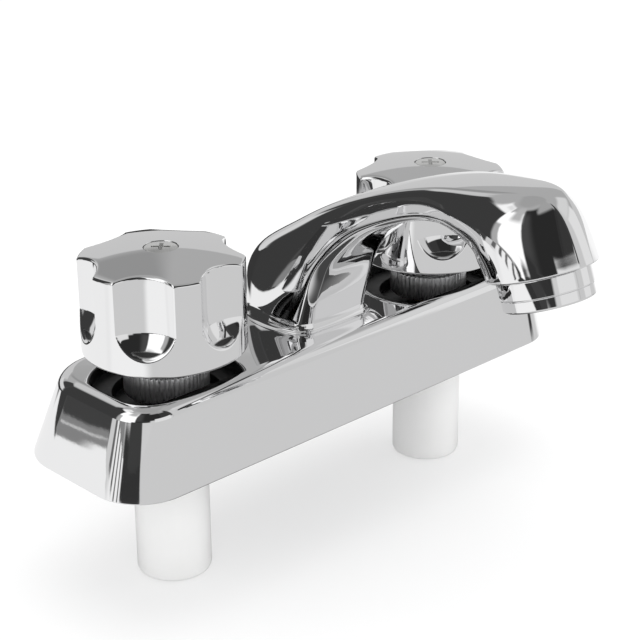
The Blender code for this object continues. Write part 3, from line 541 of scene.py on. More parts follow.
def foam(graph, colour, roughness):
    """Closed-cell foam with pores that are cut open."""
    cells = graph.node("TexVoronoi", {"feature": "F1"}, {
        "Vector": graph.place(), "Scale": 1500.0, "Randomness": 1.0})
    tone = graph.noise(300.0, 3.0)
    return (graph.tint(cells, colour, 0.55, 1.25),
            roughness + 0.12 * tone,
            graph.bump(cells + 0.3 * tone, 0.5, 0.0003))


def steel(graph, colour, roughness):
    """Nickel-plated steel with the marks of the screwdriver and the header die."""
    marks = graph.noise(520.0, 5.0, 0.65)
    wear = graph.step(graph.noise(260.0, 3.0), 0.52, 0.70)
    return (graph.tint(wear, colour, 1.0, 0.86),
            roughness + 0.10 * marks + 0.08 * wear,
            graph.bump(marks, 0.14, 0.0001))


def rubber(graph, colour, roughness):
    """Moulded seal rubber with a dull bloom."""
    bloom = graph.noise(160.0, 3.0)
    grain = graph.noise(1900.0, 2.0)
    return (graph.tint(bloom, colour, 0.8, 1.6),
            roughness + 0.20 * bloom,
            graph.bump(grain, 0.2, 0.00006))


def brass(graph, colour, roughness):
    """Bar brass with the rings of the lathe, a little dull between them."""
    rings = graph.node("TexWave", {"wave_type": "BANDS", "bands_direction": "Z"}, {
        "Vector": graph.place(), "Scale": 620.0, "Distortion": 1.2, "Detail": 2.0})
    tarnish = graph.noise(120.0, 3.0)
    return (graph.tint(tarnish, colour, 0.82, 1.0),
            roughness + 0.16 * tarnish + 0.05 * rings,
            graph.bump(rings, 0.15, 0.00005))


def ceramic(graph, colour, roughness):
    """Alumina discs, lapped flat and faintly speckled."""
    speckle = graph.step(graph.noise(1400.0, 2.0), 0.58, 0.72)
    tone = graph.noise(80.0, 2.0)
    return (graph.tint(0.35 * speckle, colour, 1.0, 0.78),
            roughness + 0.10 * tone + 0.12 * speckle,
            graph.bump(speckle, 0.05, 0.00005))


def finish_for(name):
    """The finish of a material slot, or of one kind of piece, made once."""
    made = bpy.data.materials.get(name)
    if made:
        return made
    look = bpy.context.scene.faucet_finishes
    paint, colour, roughness, metallic, specular = {
        "polished_chrome": (chrome, look.chrome_colour, look.chrome_roughness, 1.0, 0.5),
        # Knob chrome, with painted shade in the hollow under each knob.
        "knob_chrome_with_painted_shade": (knob_chrome_with_painted_shade, look.chrome_colour, look.chrome_roughness, 1.0, 0.5),
        "rolled_chrome": (ribbed_chrome, look.chrome_colour, look.rolled_roughness, 1.0, 0.5),
        "white_plastic": (plastic, look.plastic_colour, 0.34, 0.0, 0.4),
        "grey_plastic": (plastic, look.insert_colour, 0.40, 0.0, 0.4),
        "grey_foam": (foam, look.foam_colour, 0.84, 0.0, 0.2),
        "bright_steel": (steel, look.steel_colour, 0.09, 1.0, 0.5),
        "black_rubber": (rubber, look.rubber_colour, 0.52, 0.0, 0.4),
        "brass": (brass, look.brass_colour, 0.20, 1.0, 0.5),
        "ceramic": (ceramic, look.ceramic_colour, 0.14, 0.0, 0.6),
    }[name.removeprefix("finish_")]
    material, graph = new_finish(name)
    colour, roughness, normal = paint(graph, colour, roughness)
    shader = graph.node("BsdfPrincipled", None, {
        "Base Color": colour, "Metallic": metallic, "Roughness": roughness,
        "Specular IOR Level": specular, "Normal": normal})
    graph.show(shader)
    return material


# Base

def base_ring(end_inset, front_inset, back_inset, corner_inset, height):
    """Rounded rectangle of the base, moved in from its outline on the deck."""
    half = cad_size("body_shell").x / 2 - end_inset
    front = BASE_FRONT - front_inset
    back = BASE_BACK - back_inset
    front_round = FRONT_CORNER - corner_inset
    back_round = BACK_CORNER - corner_inset
    corners = (
        (-half + front_round, -front + front_round, front_round, 180.0),
        (half - front_round, -front + front_round, front_round, 270.0),
        (half - back_round, back - back_round, back_round, 0.0),
        (-half + back_round, back - back_round, back_round, 90.0),
    )
    points = []
    for x, y, radius, start in corners:
        for i in range(CORNER_STEPS + 1):
            dx, dy = polar(radius, radians(start + 90.0 * i / CORNER_STEPS))
            points.append((x + dx, y + dy, height))
    return points


def base_block(name, sizes, inset, low, high, top_edge, bottom_edge):
    """The drafted block, with its top and bottom edges rounded."""
    arc = quarter(EDGE_STEPS)
    levels = [(inset + bottom_edge * (1.0 - s), low + bottom_edge * (1.0 - c))
              for s, c in arc[:-1] if bottom_edge > 0.0]
    levels += [(inset, low + bottom_edge), (inset, high - top_edge)]
    levels += [(inset + top_edge * (1.0 - c), high - top_edge + top_edge * s)
               for s, c in arc[1:] if top_edge > 0.0]
    rings = []
    for step, height in levels:
        share = height / sizes.base_height
        rings.append(base_ring(END_DRAFT * share + step, FRONT_DRAFT * share + step,
                               BACK_DRAFT * share + step, FRONT_DRAFT * share + step, height))
    return skin(name, rings)


# Spout

def spout_stations(deck):
    """Sections along the spout, from inside the base to the head's rim.

    Each has its inner end and its outer end as (y, z), the half widths at the inner end,
    the middle and the outer end, the two corner radii, the crown and how round it is.
    """
    tilt = Vector((cos(HEAD_TILT), -sin(HEAD_TILT)))
    up = Vector((sin(HEAD_TILT), cos(HEAD_TILT)))
    rim = Vector((-HEAD_REACH, HEAD_HEIGHT))
    rim_in = rim + tilt * HEAD_RADIUS
    rim_out = rim - tilt * HEAD_RADIUS
    arch = Vector((-ARCH_REACH, ARCH_UNDERSIDE))
    rise = ARCH_UNDERSIDE - deck
    span = ARCH_REACH - FOOT_FRONT
    wide = FOOT_HALF_WIDTH
    slim = ARCH_HALF_WIDTH
    nose = NOSE_HALF_WIDTH

    def front(share_y, share_z):
        return Vector((-FOOT_FRONT - span * share_y, deck + rise * share_z))

    def ridge(y, drop):
        return Vector((-y, RIDGE_HEIGHT - drop))

    def back(inset, height):
        return Vector((FOOT_BACK - inset, deck + height))

    return [
        (front(-0.03, -0.09), back(0.0, -0.004), wide * 0.84, wide * 1.03, wide * 0.78,
         0.0036, 0.0056, 0.0012, 0.10),
        (front(0.00, 0.08), back(0.0, 0.004), wide * 0.84, wide * 0.985, wide * 0.76,
         0.0038, 0.0056, 0.0012, 0.12),
        (front(0.04, 0.23), back(0.0004, 0.0115), wide * 0.87, wide * 0.93, wide * 0.71,
         0.0042, 0.0052, 0.0014, 0.08),
        (front(0.08, 0.35), back(0.0036, 0.0175), wide * 0.87, wide * 0.875, wide * 0.68,
         0.0048, 0.0046, 0.0014, 0.06),
        (front(0.14, 0.48), back(0.0098, 0.0229), wide * 0.86, wide * 0.835, wide * 0.70,
         0.0054, 0.0040, 0.0013, 0.05),
        (front(0.27, 0.625), back(0.0198, 0.0290), slim * 1.08, wide * 0.80, slim * 0.92,
         0.0056, 0.0034, 0.0011, 0.05),
        (front(0.43, 0.76), ridge(0.0145, 0.0187), slim * 1.04, wide * 0.785, slim * 0.94,
         0.0050, 0.0028, 0.0009, 0.05),
        (front(0.60, 0.86), ridge(0.0284, 0.0121), slim * 1.00, slim * 1.03, slim * 0.97,
         0.0036, 0.0022, 0.0008, 0.04),
        (front(0.81, 0.955), ridge(0.0425, 0.0067), slim * 0.97, slim * 1.02, slim * 0.98,
         0.0024, 0.0020, 0.0008, 0.04),
        (arch, ridge(0.0560, 0.0030), slim * 0.98, slim * 1.02, slim * 0.95,
         0.0022, 0.0016, 0.0008, 0.03),
        (arch + Vector((-0.0065, -0.0012)), ridge(0.0690, 0.0009), slim, slim * 1.12, slim * 0.84,
         0.0024, 0.0014, 0.0013, 0.06),
        (rim_in + up * 0.0078 + Vector((-0.0008, 0.0)), ridge(0.0795, 0.0), slim * 0.95,
         HEAD_RADIUS * 0.95, slim * 0.62, 0.0036, 0.0010, 0.0008, 0.35),
        (rim_in + up * 0.0042, ridge(0.0862, 0.0009), slim * 0.85, HEAD_RADIUS * 0.99, nose * 1.35,
         0.0050, 0.0006, 0.0002, 0.60),
        (rim_in + up * 0.0020, rim_out + up * 0.0098 + Vector((0.0014, 0.0)), slim * 0.78,
         HEAD_RADIUS, nose, 0.0056, 0.0004, 0.0001, 0.80),
        (rim_in, rim_out, slim * 0.74, HEAD_RADIUS, nose, 0.0060, 0.0003, 0.0001, 0.92),
    ]


def smooth_path(rows, steps):
    """Even cubic curve along the stations, drawn outwards first so that it still meets them."""
    values = [[row[0].x, row[0].y, row[1].x, row[1].y, *row[2:]] for row in rows]
    drawn = [values[0]]
    for before, here, after in zip(values, values[1:], values[2:]):
        drawn.append([b - (a - 2.0 * b + c) / 6.0 for a, b, c in zip(before, here, after)])
    drawn.append(values[-1])
    first = [2.0 * a - b for a, b in zip(drawn[0], drawn[1])]
    last = [2.0 * a - b for a, b in zip(drawn[-1], drawn[-2])]
    points = [first, *drawn, last]
    result = []
    for i in range(len(values) - 1):
        for k in range(steps):
            t = k / steps
            weights = ((1.0 - t) ** 3 / 6.0, (3.0 * t ** 3 - 6.0 * t ** 2 + 4.0) / 6.0,
                       (-3.0 * t ** 3 + 3.0 * t ** 2 + 3.0 * t + 1.0) / 6.0, t ** 3 / 6.0)
            result.append([sum(w * p[n] for w, p in zip(weights, points[i:i + 4]))
                           for n in range(len(first))])
    result.append(values[-1])
    return result


def quadratic(a, b, c, t):
    return a * (1 - t) ** 2 + b * 2 * t * (1 - t) + c * t ** 2


def half_section(depth, wide_in, wide_mid, wide_out, round_in, round_out, crown):
    """Half outline in (x, v), from the inner end's middle to the outer end's middle."""
    corner_in = Vector((wide_in, 0.0))
    corner_out = Vector((wide_out, depth - crown))
    bulge = Vector((2 * wide_mid - (wide_in + wide_out) / 2, depth / 2))
    length = (corner_out - corner_in).length
    start = min(round_in / length, 0.4)
    stop = 1.0 - min(round_out / length, 0.4)

    def side(t):
        return quadratic(corner_in, bulge, corner_out, t)

    def top(x):
        return Vector((x, depth - crown * (x / wide_out) ** 2))

    flat_in = max(wide_in - round_in, wide_in * 0.3)
    flat_out = max(wide_out - round_out, wide_out * 0.4)
    points = [Vector((flat_in * i / 3, 0.0)) for i in range(3)]
    points += [quadratic(Vector((flat_in, 0.0)), corner_in, side(start), i / 6) for i in range(6)]
    points += [side(start + (stop - start) * i / 10) for i in range(10)]
    points += [quadratic(side(stop), corner_out, top(flat_out), i / 6) for i in range(6)]
    points += [top(flat_out * (1.0 - i / 6)) for i in range(7)]
    return points


def rounded(point, depth, wide_mid, share):
    """Pull a point towards the ellipse that has the section's depth and width."""
    centre = Vector((0.0, depth / 2))
    arm = point - centre
    angle = atan2(arm.y / (depth / 2), arm.x / wide_mid)
    x, v = wide_mid * cos(angle), depth / 2 * sin(angle)
    return point.lerp(centre + Vector((x, v)), share)


def spout_ring(values, inset=0.0, flare=0.0):
    """One section of the spout in space; inset gives the inside of the casting."""
    inner, outer = Vector(values[0:2]), Vector(values[2:4])
    wide_in, wide_mid, wide_out, round_in, round_out, crown, share = values[4:]
    along = (outer - inner).normalized()
    inner = inner + along * (inset - flare)
    outer = outer - along * inset
    depth = (outer - inner).length
    widths = [max(w - inset + flare, 0.0012) for w in (wide_in, wide_mid, wide_out)]
    half = half_section(depth, *widths, max(round_in - inset / 2, 0.0004),
                        max(round_out - inset / 2, 0.0003), crown)
    half = [rounded(p, depth, widths[1], share) for p in half]
    outline = half + [Vector((-p.x, p.y)) for p in reversed(half[1:-1])]
    return [Vector((p.x, inner.x + along.x * p.y, inner.y + along.y * p.y)) for p in outline]


def spout_block(sizes):
    """The solid spout, with the fillet at its foot and the small radius on the head's rim."""
    deck = sizes.base_height
    fillet = sizes.foot_fillet
    path = smooth_path(spout_stations(deck), SPOUT_STEPS)
    rings = []

    def level(height, flare):
        low = list(path[0])
        low[0], low[1], low[3] = -FOOT_FRONT, deck + height, deck + height
        rings.append(spout_ring(low, 0.0, flare))

    level(-FOOT_DEPTH, fillet)
    for s, c in quarter(FILLET_STEPS):
        level(fillet * (1.0 - c) - FILLET_SINK, fillet * (1.0 - s))
    for values in path[:-1]:
        if min(values[1], values[3]) > deck + fillet + 0.0002:
            rings.append(spout_ring(values))
    up = Vector((0.0, sin(HEAD_TILT), cos(HEAD_TILT)))
    for s, c in quarter(4):
        rim = spout_ring(path[-1], RIM_EDGE * (1.0 - c))
        rings.append([point + up * RIM_EDGE * (1.0 - s) for point in rim])
    return skin("spout", rings)


def spout_cavity(sizes):
    path = smooth_path(spout_stations(sizes.base_height), CAVITY_STEPS)
    start = sizes.base_height + sizes.foot_fillet
    inside = [values for values in path if min(values[1], values[3]) > start]
    return skin("spout_hollow", [spout_ring(values, WALL)[::2]
                                 for values in inside[:-2 * CAVITY_STEPS]])


class FAUCET_OT_casting(bpy.types.Operator):
    """Model the plated casting, base and spout in one hollow piece"""
    bl_idname = "faucet.casting"
    bl_label = "Casting"

    def execute(self, context):
        sizes = context.scene.faucet_casting
        top = sizes.base_height
        ceiling = top - WALL
        casting = base_block("casting", sizes, 0.0, 0.0, top, sizes.base_edge, LOWER_EDGE)
        fuse(casting, spout_block(sizes))
        cut(casting, base_block("base_hollow", sizes, WALL, -CLEARANCE, ceiling, 0.0, 0.0))
        cut(casting, spout_cavity(sizes))
        cut(casting, rod("socket", RISER_RADIUS + CLEARANCE, ceiling - OVERRUN,
                         top + SOCKET_HEIGHT, 48, (0.0, RISER_PLACE)))
        neck = NOZZLE_NECK_LENGTH + NOZZLE_WASHER + 2 * CLEARANCE
        outlet = spun("outlet", stepped(
            -2 * OVERRUN, (NOZZLE_NECK_RADIUS + CLEARANCE, neck),
            (OUTLET_PASSAGE, neck + OUTLET_LENGTH, OUTLET_PASSAGE * 0.9)), 64)
        cut(casting, moved(outlet, nozzle_frame()))
        low = PLATE_BOTTOM + PLATE_THICKNESS + CLEARANCE
        fuse(casting, rods("posts", POST_RADIUS, low, ceiling + OVERRUN, 32, screw_places()))
        cut(casting, rods("post_holes", POST_HOLE, low - OVERRUN, ceiling - OVERRUN, 16,
                          screw_places()))
        cut(casting, rods("valve_holes", WELL_RADIUS + CLEARANCE, ceiling - OVERRUN,
                          top + OVERRUN, 64, [(x, 0.0) for x in KNOB_AXES.values()]))
        complete(casting, "faucet_body", "polished_chrome", "body_shell")
        return {"FINISHED"}


# Knobs

def smooth_least(first, second, blend):
    """The smaller of two lengths, with a rounded corner where they cross."""
    share = max(blend - abs(first - second), 0.0) / blend
    return min(first, second) - share * share * blend / 4.0


def cutter_radius(sizes, height):
    """Radius of the flute at a height: straight above its end, round below it."""
    if height >= sizes.flute_end:
        return sizes.flute_radius
    centre = sizes.flute_end + sqrt(sizes.scoop_radius ** 2 - sizes.flute_radius ** 2)
    return sqrt(max(sizes.scoop_radius ** 2 - (centre - height) ** 2, 0.0))


def knob_radius(sizes, angle, cutter):
    """Distance from the knob's axis to its fluted side, in one direction."""
    outside = sizes.knob_radius
    inside = cutter ** 2 - (FLUTE_AXIS * sin(angle)) ** 2
    if cutter <= 0.0 or inside <= 0.0:
        return outside
    return smooth_least(outside, FLUTE_AXIS * cos(angle) - sqrt(inside), EDGE_BLEND * 2)


def crown_height(sizes, radius):
    return sizes.knob_rim + sizes.knob_crown * (1.0 - (radius / sizes.knob_radius) ** 2)


def knob_levels(sizes):
    """Heights of the rings up the knob's side, closest together round the scoops."""
    centre = sizes.flute_end + sqrt(sizes.scoop_radius ** 2 - sizes.flute_radius ** 2)
    reach = FLUTE_AXIS - sizes.knob_radius
    scoop_low = centre - sqrt(sizes.scoop_radius ** 2 - reach ** 2) - 0.0004
    lower = [sizes.knob_bottom + (scoop_low - sizes.knob_bottom) * share
             for share in (0.18, 0.5, 0.8, 1.0)]
    scoop = [scoop_low + (sizes.flute_end - scoop_low) * i / SCOOP_STEPS
             for i in range(1, SCOOP_STEPS + 1)]
    upper = [sizes.flute_end + 0.00012, sizes.flute_end + 0.0006]
    high = sizes.knob_rim - 0.0012
    upper += [upper[-1] + (high - upper[-1]) * share for share in (0.2, 0.45, 0.7, 0.9, 1.0)]
    return lower + scoop + upper


def knob_blank(sizes, flute_angle):
    """The fluted blank, ring by ring from its bottom edge to the middle of its crown."""
    pitch = tau / FLUTE_COUNT
    turns = [tau * i / KNOB_SIDES for i in range(KNOB_SIDES)]
    aside = [(turn + pi / 2 + flute_angle + pitch / 2) % pitch - pitch / 2 for turn in turns]
    edge = sizes.knob_edge
    rings = []

    def ring(radii, heights):
        rings.append([(*polar(radius, turn), height)
                      for turn, radius, height in zip(turns, radii, heights)])

    def crown(radii, drop):
        ring(radii, [crown_height(sizes, radius) - drop for radius in radii])

    for s, c in quarter(4):
        ring([sizes.knob_radius - edge * (1.0 - s)] * KNOB_SIDES,
             [sizes.knob_bottom + edge * (1.0 - c)] * KNOB_SIDES)
    for height in knob_levels(sizes):
        cutter = cutter_radius(sizes, height)
        ring([knob_radius(sizes, angle, cutter) for angle in aside], [height] * KNOB_SIDES)
    outline = [knob_radius(sizes, angle, sizes.flute_radius) for angle in aside]
    for s, c in quarter(6):
        crown([radius - edge * (1.0 - c) for radius in outline], edge * (1.0 - s))
    top = [radius - edge for radius in outline]
    last = SCREW_HEAD_RADIUS * 0.5
    for i in range(1, CROWN_STEPS + 1):
        crown([radius + (last - radius) * (i / CROWN_STEPS) for radius in top], 0.0)
    return skin("knob", rings)


class FAUCET_OT_knobs(bpy.types.Operator):
    """Model the two fluted knobs with their scoops and bores"""
    bl_idname = "faucet.knobs"
    bl_label = "Knobs"

    def execute(self, context):
        sizes = context.scene.faucet_knobs
        top = sizes.knob_rim + sizes.knob_crown
        recess = SCREW_HEAD_RADIUS + SCREW_RECESS_GAP
        mouth = recess + 0.00012
        bores = stepped(
            sizes.knob_bottom - OVERRUN, (KNOB_HOLLOW_RADIUS, KNOB_HOLLOW_TOP),
            (KNOB_RECESS_RADIUS, KNOB_CEILING), (KNOB_BORE_RADIUS, KNOB_SOCKET_TOP),
            (SCREW_SHANK_RADIUS + CLEARANCE, top - SCREW_HEAD_HEIGHT - CLEARANCE),
            (recess, top - 0.00025))[:-1]
        bores += [(mouth, top - 0.00005), (mouth, top + OVERRUN), (0.0, top + OVERRUN)]
        for side, axis in KNOB_AXES.items():
            knob = knob_blank(sizes, FLUTE_ANGLES[side])
            cut(knob, spun("knob_bores", bores, 96))
            shifted(knob, axis)
            knob.name = f"{side}_knob_skin"
            # The knob's finish paints shade into its hollow.
            complete(knob, f"{side}_handle", "polished_chrome", f"{side}_knob", "knob_chrome_with_painted_shade")
        return {"FINISHED"}


def screw_cross(top):
    """Tapered cross that a cross-head bit leaves, deepest in the middle."""
    half, width = CROSS_LENGTH / 2, CROSS_WIDTH / 2
    outline = ((-half, -width), (half, -width), (half, width), (-half, width))
    levels = ((top + OVERRUN, 1.1, 1.05), (top, 1.0, 1.0), (top - CROSS_DEPTH, 0.45, 0.62))
    rings = [[(x * share, y * thin, height) for x, y in outline]
             for height, share, thin in levels]
    return [moved(skin("blade", rings), Matrix.Rotation(turn, 4, "Z"))
            for turn in (pi / 4, -pi / 4)]


class FAUCET_OT_knob_screws(bpy.types.Operator):
    """Model the cross-head screws in the middle of the knobs"""
    bl_idname = "faucet.knob_screws"
    bl_label = "Knob screws"

    def execute(self, context):
        sizes = context.scene.faucet_knobs
        top = sizes.knob_rim + sizes.knob_crown - 0.00005
        seat = top - SCREW_HEAD_HEIGHT
        tip = seat - SCREW_LENGTH
        head, shank = SCREW_HEAD_RADIUS, SCREW_SHANK_RADIUS
        outline = [(0.0, tip), (shank * 0.5, tip), (shank * 0.95, tip + 0.0008),
                   *thread(shank, shank * 0.84, tip + 0.0012, seat - 0.002, SCREW_PITCH),
                   (shank, seat), (head, seat)]
        outline += [(head - SCREW_EDGE * (1.0 - c), top - 0.00048 + SCREW_EDGE * s)
                    for s, c in quarter(6)]
        outline += [(head * 0.62, top - 0.00008), (head * 0.40, top - 0.00003),
                    (head * 0.2, top - 0.00001), (0.0, top)]
        for side, axis in KNOB_AXES.items():
            screw = spun("screw", outline, 48)
            for blade in screw_cross(top):
                cut(screw, blade)
            shifted(screw, axis)
            screw.name = f"{side}_knob_screw_skin"
            complete(screw, f"{side}_handle", "bright_steel", f"{side}_knob_screw")
        return {"FINISHED"}


# Collars

class FAUCET_OT_collars(bpy.types.Operator):
    """Model the ribbed collars that hold the valve cartridges down"""
    bl_idname = "faucet.collars"
    bl_label = "Ribbed collars"

    def execute(self, context):
        sizes = context.scene.faucet_knobs
        count = sizes.rib_count * POINTS_PER_RIB
        levels = ((COLLAR_BOTTOM, 0.0003), (COLLAR_BOTTOM + COLLAR_EDGE, 0.0),
                  (COLLAR_TOP - 2 * COLLAR_EDGE, 0.0), (COLLAR_TOP - COLLAR_EDGE, 0.0001),
                  (COLLAR_TOP, 0.0005))
        rings = []
        for height, inset in levels:
            ring = []
            for i in range(count):
                wave = cos(tau * i / POINTS_PER_RIB)
                crest = abs(wave) ** 0.7 * (1.0 if wave > 0.0 else -1.0)
                radius = sizes.collar_radius - sizes.rib_depth * (0.5 - 0.5 * crest) - inset
                ring.append((*polar(radius, tau * i / count), height))
            rings.append(ring)
        bore = stepped(COLLAR_BOTTOM - OVERRUN, (COLLAR_BORE, COLLAR_SHOULDER),
                       (COLLAR_HOLE, COLLAR_TOP + OVERRUN))
        for side, axis in KNOB_AXES.items():
            collar = skin("collar", rings)
            cut(collar, spun("collar_bore", bore, 64))
            shifted(collar, axis)
            collar.name = f"{side}_collar_skin"
            complete(collar, "faucet_body", "polished_chrome", f"{side}_bonnet_nut",
                     "rolled_chrome", COLLAR_SMOOTH_ANGLE)
        return {"FINISHED"}


# Waterway

def channel(name, radius, sides):
    """Round bar along X between the two valves."""
    bar = rod(name, radius, -VALVE_X, VALVE_X, sides)
    moved(bar, Matrix.Rotation(pi / sides, 4, "Z"))
    moved(bar, Matrix.Rotation(pi / 2, 4, "Y"))
    return shifted(bar, z=CHANNEL_HEIGHT)


def mounting_plate():
    outline = []
    for quarter_turn, (x, y) in enumerate(((1, 1), (-1, 1), (-1, -1), (1, -1))):
        for i in range(9):
            dx, dy = polar(PLATE_CORNER, pi / 2 * (quarter_turn + i / 8))
            outline.append((x * (PLATE_X - PLATE_CORNER) + dx, y * (PLATE_Y - PLATE_CORNER) + dy))
    high = PLATE_BOTTOM + PLATE_THICKNESS
    plate = skin("plate", [[(x, y, z) for x, y in outline] for z in (PLATE_BOTTOM, high)])
    cut(plate, rods("plate_holes", PLATE_HOLE, PLATE_BOTTOM - OVERRUN, high + OVERRUN, 16,
                    screw_places()))
    return plate


class FAUCET_OT_waterway(bpy.types.Operator):
    """Model the white waterway with its two shanks, wells, channel and riser"""
    bl_idname = "faucet.waterway"
    bl_label = "Waterway and shanks"

    def execute(self, context):
        end = context.scene.faucet_waterway.shank_end
        body = channel("waterway_skin", CHANNEL_RADIUS, 48)
        fuse(body, spun("riser", stepped(
            RISER_HUB_BOTTOM, (RISER_HUB_RADIUS, RISER_HUB_TOP), (RISER_RADIUS, RISER_GROOVE[0]),
            (RISER_GROOVE_RADIUS, RISER_GROOVE[1]), (RISER_RADIUS, RISER_TOP)),
            48, (0.0, RISER_PLACE, 0.0)))
        fuse(body, mounting_plate())
        well = [(0.0, end), (SHANK_RADIUS - SHANK_CHAMFER, end),
                (SHANK_RADIUS - SHANK_CHAMFER * 0.3, end + SHANK_CHAMFER * 0.3)]
        well += stepped(
            end + SHANK_CHAMFER, (SHANK_RADIUS, SEAT_HEIGHT),
            (SHANK_FLANGE_RADIUS, SEAT_HEIGHT + SHANK_FLANGE_THICKNESS),
            (WELL_RADIUS, WELL_TOP))[1:]
        bore = stepped(
            end - OVERRUN, (SHANK_BORE, WELL_FLOOR - WELL_FLOOR_THICKNESS),
            (INLET_PORT, WELL_FLOOR), (WELL_BORE, WELL_TOP + OVERRUN))
        for add, outline, sides in ((fuse, well, 72), (cut, bore, 56)):
            for x in KNOB_AXES.values():
                add(body, spun("well", outline, sides, (x, 0.0, 0.0)))
        cut(body, channel("channel_bore", CHANNEL_BORE, 32))
        cut(body, rod("riser_bore", RISER_BORE, CHANNEL_HEIGHT - CHANNEL_BORE / 3,
                      RISER_TOP + OVERRUN, 32, (0.0, RISER_PLACE)))
        complete(body, "faucet_body", "white_plastic", "waterway_underbody")
        return {"FINISHED"}


class FAUCET_OT_underbody_screws(bpy.types.Operator):
    """Model one pan-head screw and copy it to the four posts under the base"""
    bl_idname = "faucet.underbody_screws"
    bl_label = "Underbody screws"

    def execute(self, context):
        top = PLATE_BOTTOM - CLEARANCE
        head, height, shank = SMALL_HEAD_RADIUS, SMALL_HEAD_HEIGHT, SMALL_SHANK_RADIUS
        end = top + SMALL_SCREW_LENGTH
        outline = [(0.0, top - height), (head * 0.45, top - height + 0.00008)]
        outline += [(head * (0.72 + 0.28 * s), top - height * (0.25 + 0.70 * c))
                    for s, c in quarter(6)]
        outline += [(head, top), (shank, top),
                    *thread(shank, shank * 0.82, top + 0.0009, end - 0.0012, SMALL_SCREW_PITCH),
                    (shank * 0.3, end), (0.0, end)]
        screw = spun("underbody_screw", outline, 32)
        for turn in (SMALL_SLOT_TURN, SMALL_SLOT_TURN + pi / 2):
            slot = started("slot", bpy.ops.mesh.primitive_cube_add, size=1.0)
            moved(slot, Matrix.Translation((0.0, 0.0, top - height)) @
                  Matrix.Rotation(turn, 4, "Z") @ Matrix.Diagonal(SMALL_SLOT))
            cut(screw, slot)
        for number, place in enumerate(screw_places(), 1):
            copy = screw.copy()
            copy.data = screw.data.copy()
            copy.name = f"underbody_screw_skin_{number}"
            context.scene.collection.objects.link(copy)
            shifted(copy, *place)
            complete(copy, "faucet_body", "bright_steel", f"underbody_screw_{number}")
        bpy.data.objects.remove(screw, do_unlink=True)
        return {"FINISHED"}


# Nozzle

class FAUCET_OT_nozzle(bpy.types.Operator):
    """Model the nozzle ring and the honeycomb insert"""
    bl_idname = "faucet.nozzle"
    bl_label = "Nozzle"

    def execute(self, context):
        sizes = context.scene.faucet_nozzle
        bottom = -sizes.nozzle_length
        radius = sizes.nozzle_radius
        step = bottom * 0.60
        lower = radius - NOZZLE_STEP
        lip = NOZZLE_BORE - NOZZLE_LIP
        outline = [(lip, bottom + 0.0002), (lip + 0.0002, bottom)]
        outline += [(lower - NOZZLE_EDGE * (1.0 - s), bottom + NOZZLE_EDGE * (1.0 - c))
                    for s, c in quarter(6)]
        outline += [
            (lower, step - 0.0003), (lower - 0.00015, step - 0.0001), (lower - 0.00015, step),
            (radius - 0.0001, step + 0.00005), (radius, step + 0.0002), (radius, -0.0006),
            (radius - 0.0001, -0.0004), (radius - 0.0003, -CLEARANCE),
            (NOZZLE_NECK_RADIUS, -CLEARANCE), (NOZZLE_NECK_RADIUS, NOZZLE_NECK_LENGTH),
            (NOZZLE_BORE, NOZZLE_NECK_LENGTH), (NOZZLE_BORE, bottom + NOZZLE_LIP),
            (lip, bottom + NOZZLE_LIP)]
        ring = moved(spun("nozzle_ring_skin", outline, 128), nozzle_frame())
        complete(ring, "faucet_body", "polished_chrome", "nozzle_ring")

        outside = NOZZLE_BORE - CLEARANCE
        inside = outside - STRAIGHTENER_WALL
        low = bottom + NOZZLE_LIP + CLEARANCE
        floor = low + STRAIGHTENER_FLOOR
        cup = spun("straightener_skin", [
            (0.0, low), (outside - 0.0003, low), (outside, low + 0.0003),
            (outside, NOZZLE_NECK_LENGTH), (inside, NOZZLE_NECK_LENGTH), (inside, floor),
            (0.0, floor)], 64)
        reach = range(-HONEYCOMB_RINGS, HONEYCOMB_RINGS + 1)
        cells = [(HONEYCOMB_PITCH * (a + b / 2), HONEYCOMB_PITCH * b * sqrt(3) / 2)
                 for a in reach for b in reach]
        cells = [cell for cell in cells if hypot(*cell) + HONEYCOMB_HOLE < inside]
        cut(cup, rods("cells", HONEYCOMB_HOLE, low - OVERRUN, floor + OVERRUN, 6, cells))
        complete(moved(cup, nozzle_frame()), "faucet_body", "grey_plastic", "flow_straightener")
        return {"FINISHED"}


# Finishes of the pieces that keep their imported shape

class FAUCET_OT_finishes(bpy.types.Operator):
    """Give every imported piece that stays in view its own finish"""
    bl_idname = "faucet.finishes"
    bl_label = "Finishes of packed pieces"

    def execute(self, context):
        slots = {part["node"]: part["material_slot"] for part in frame["record"]["subparts"]}
        for name, node in frame["nodes"].items():
            for holder in node.material_slots:
                holder.material = finish_for("finish_" + slots[name])
        return {"FINISHED"}


# Studio

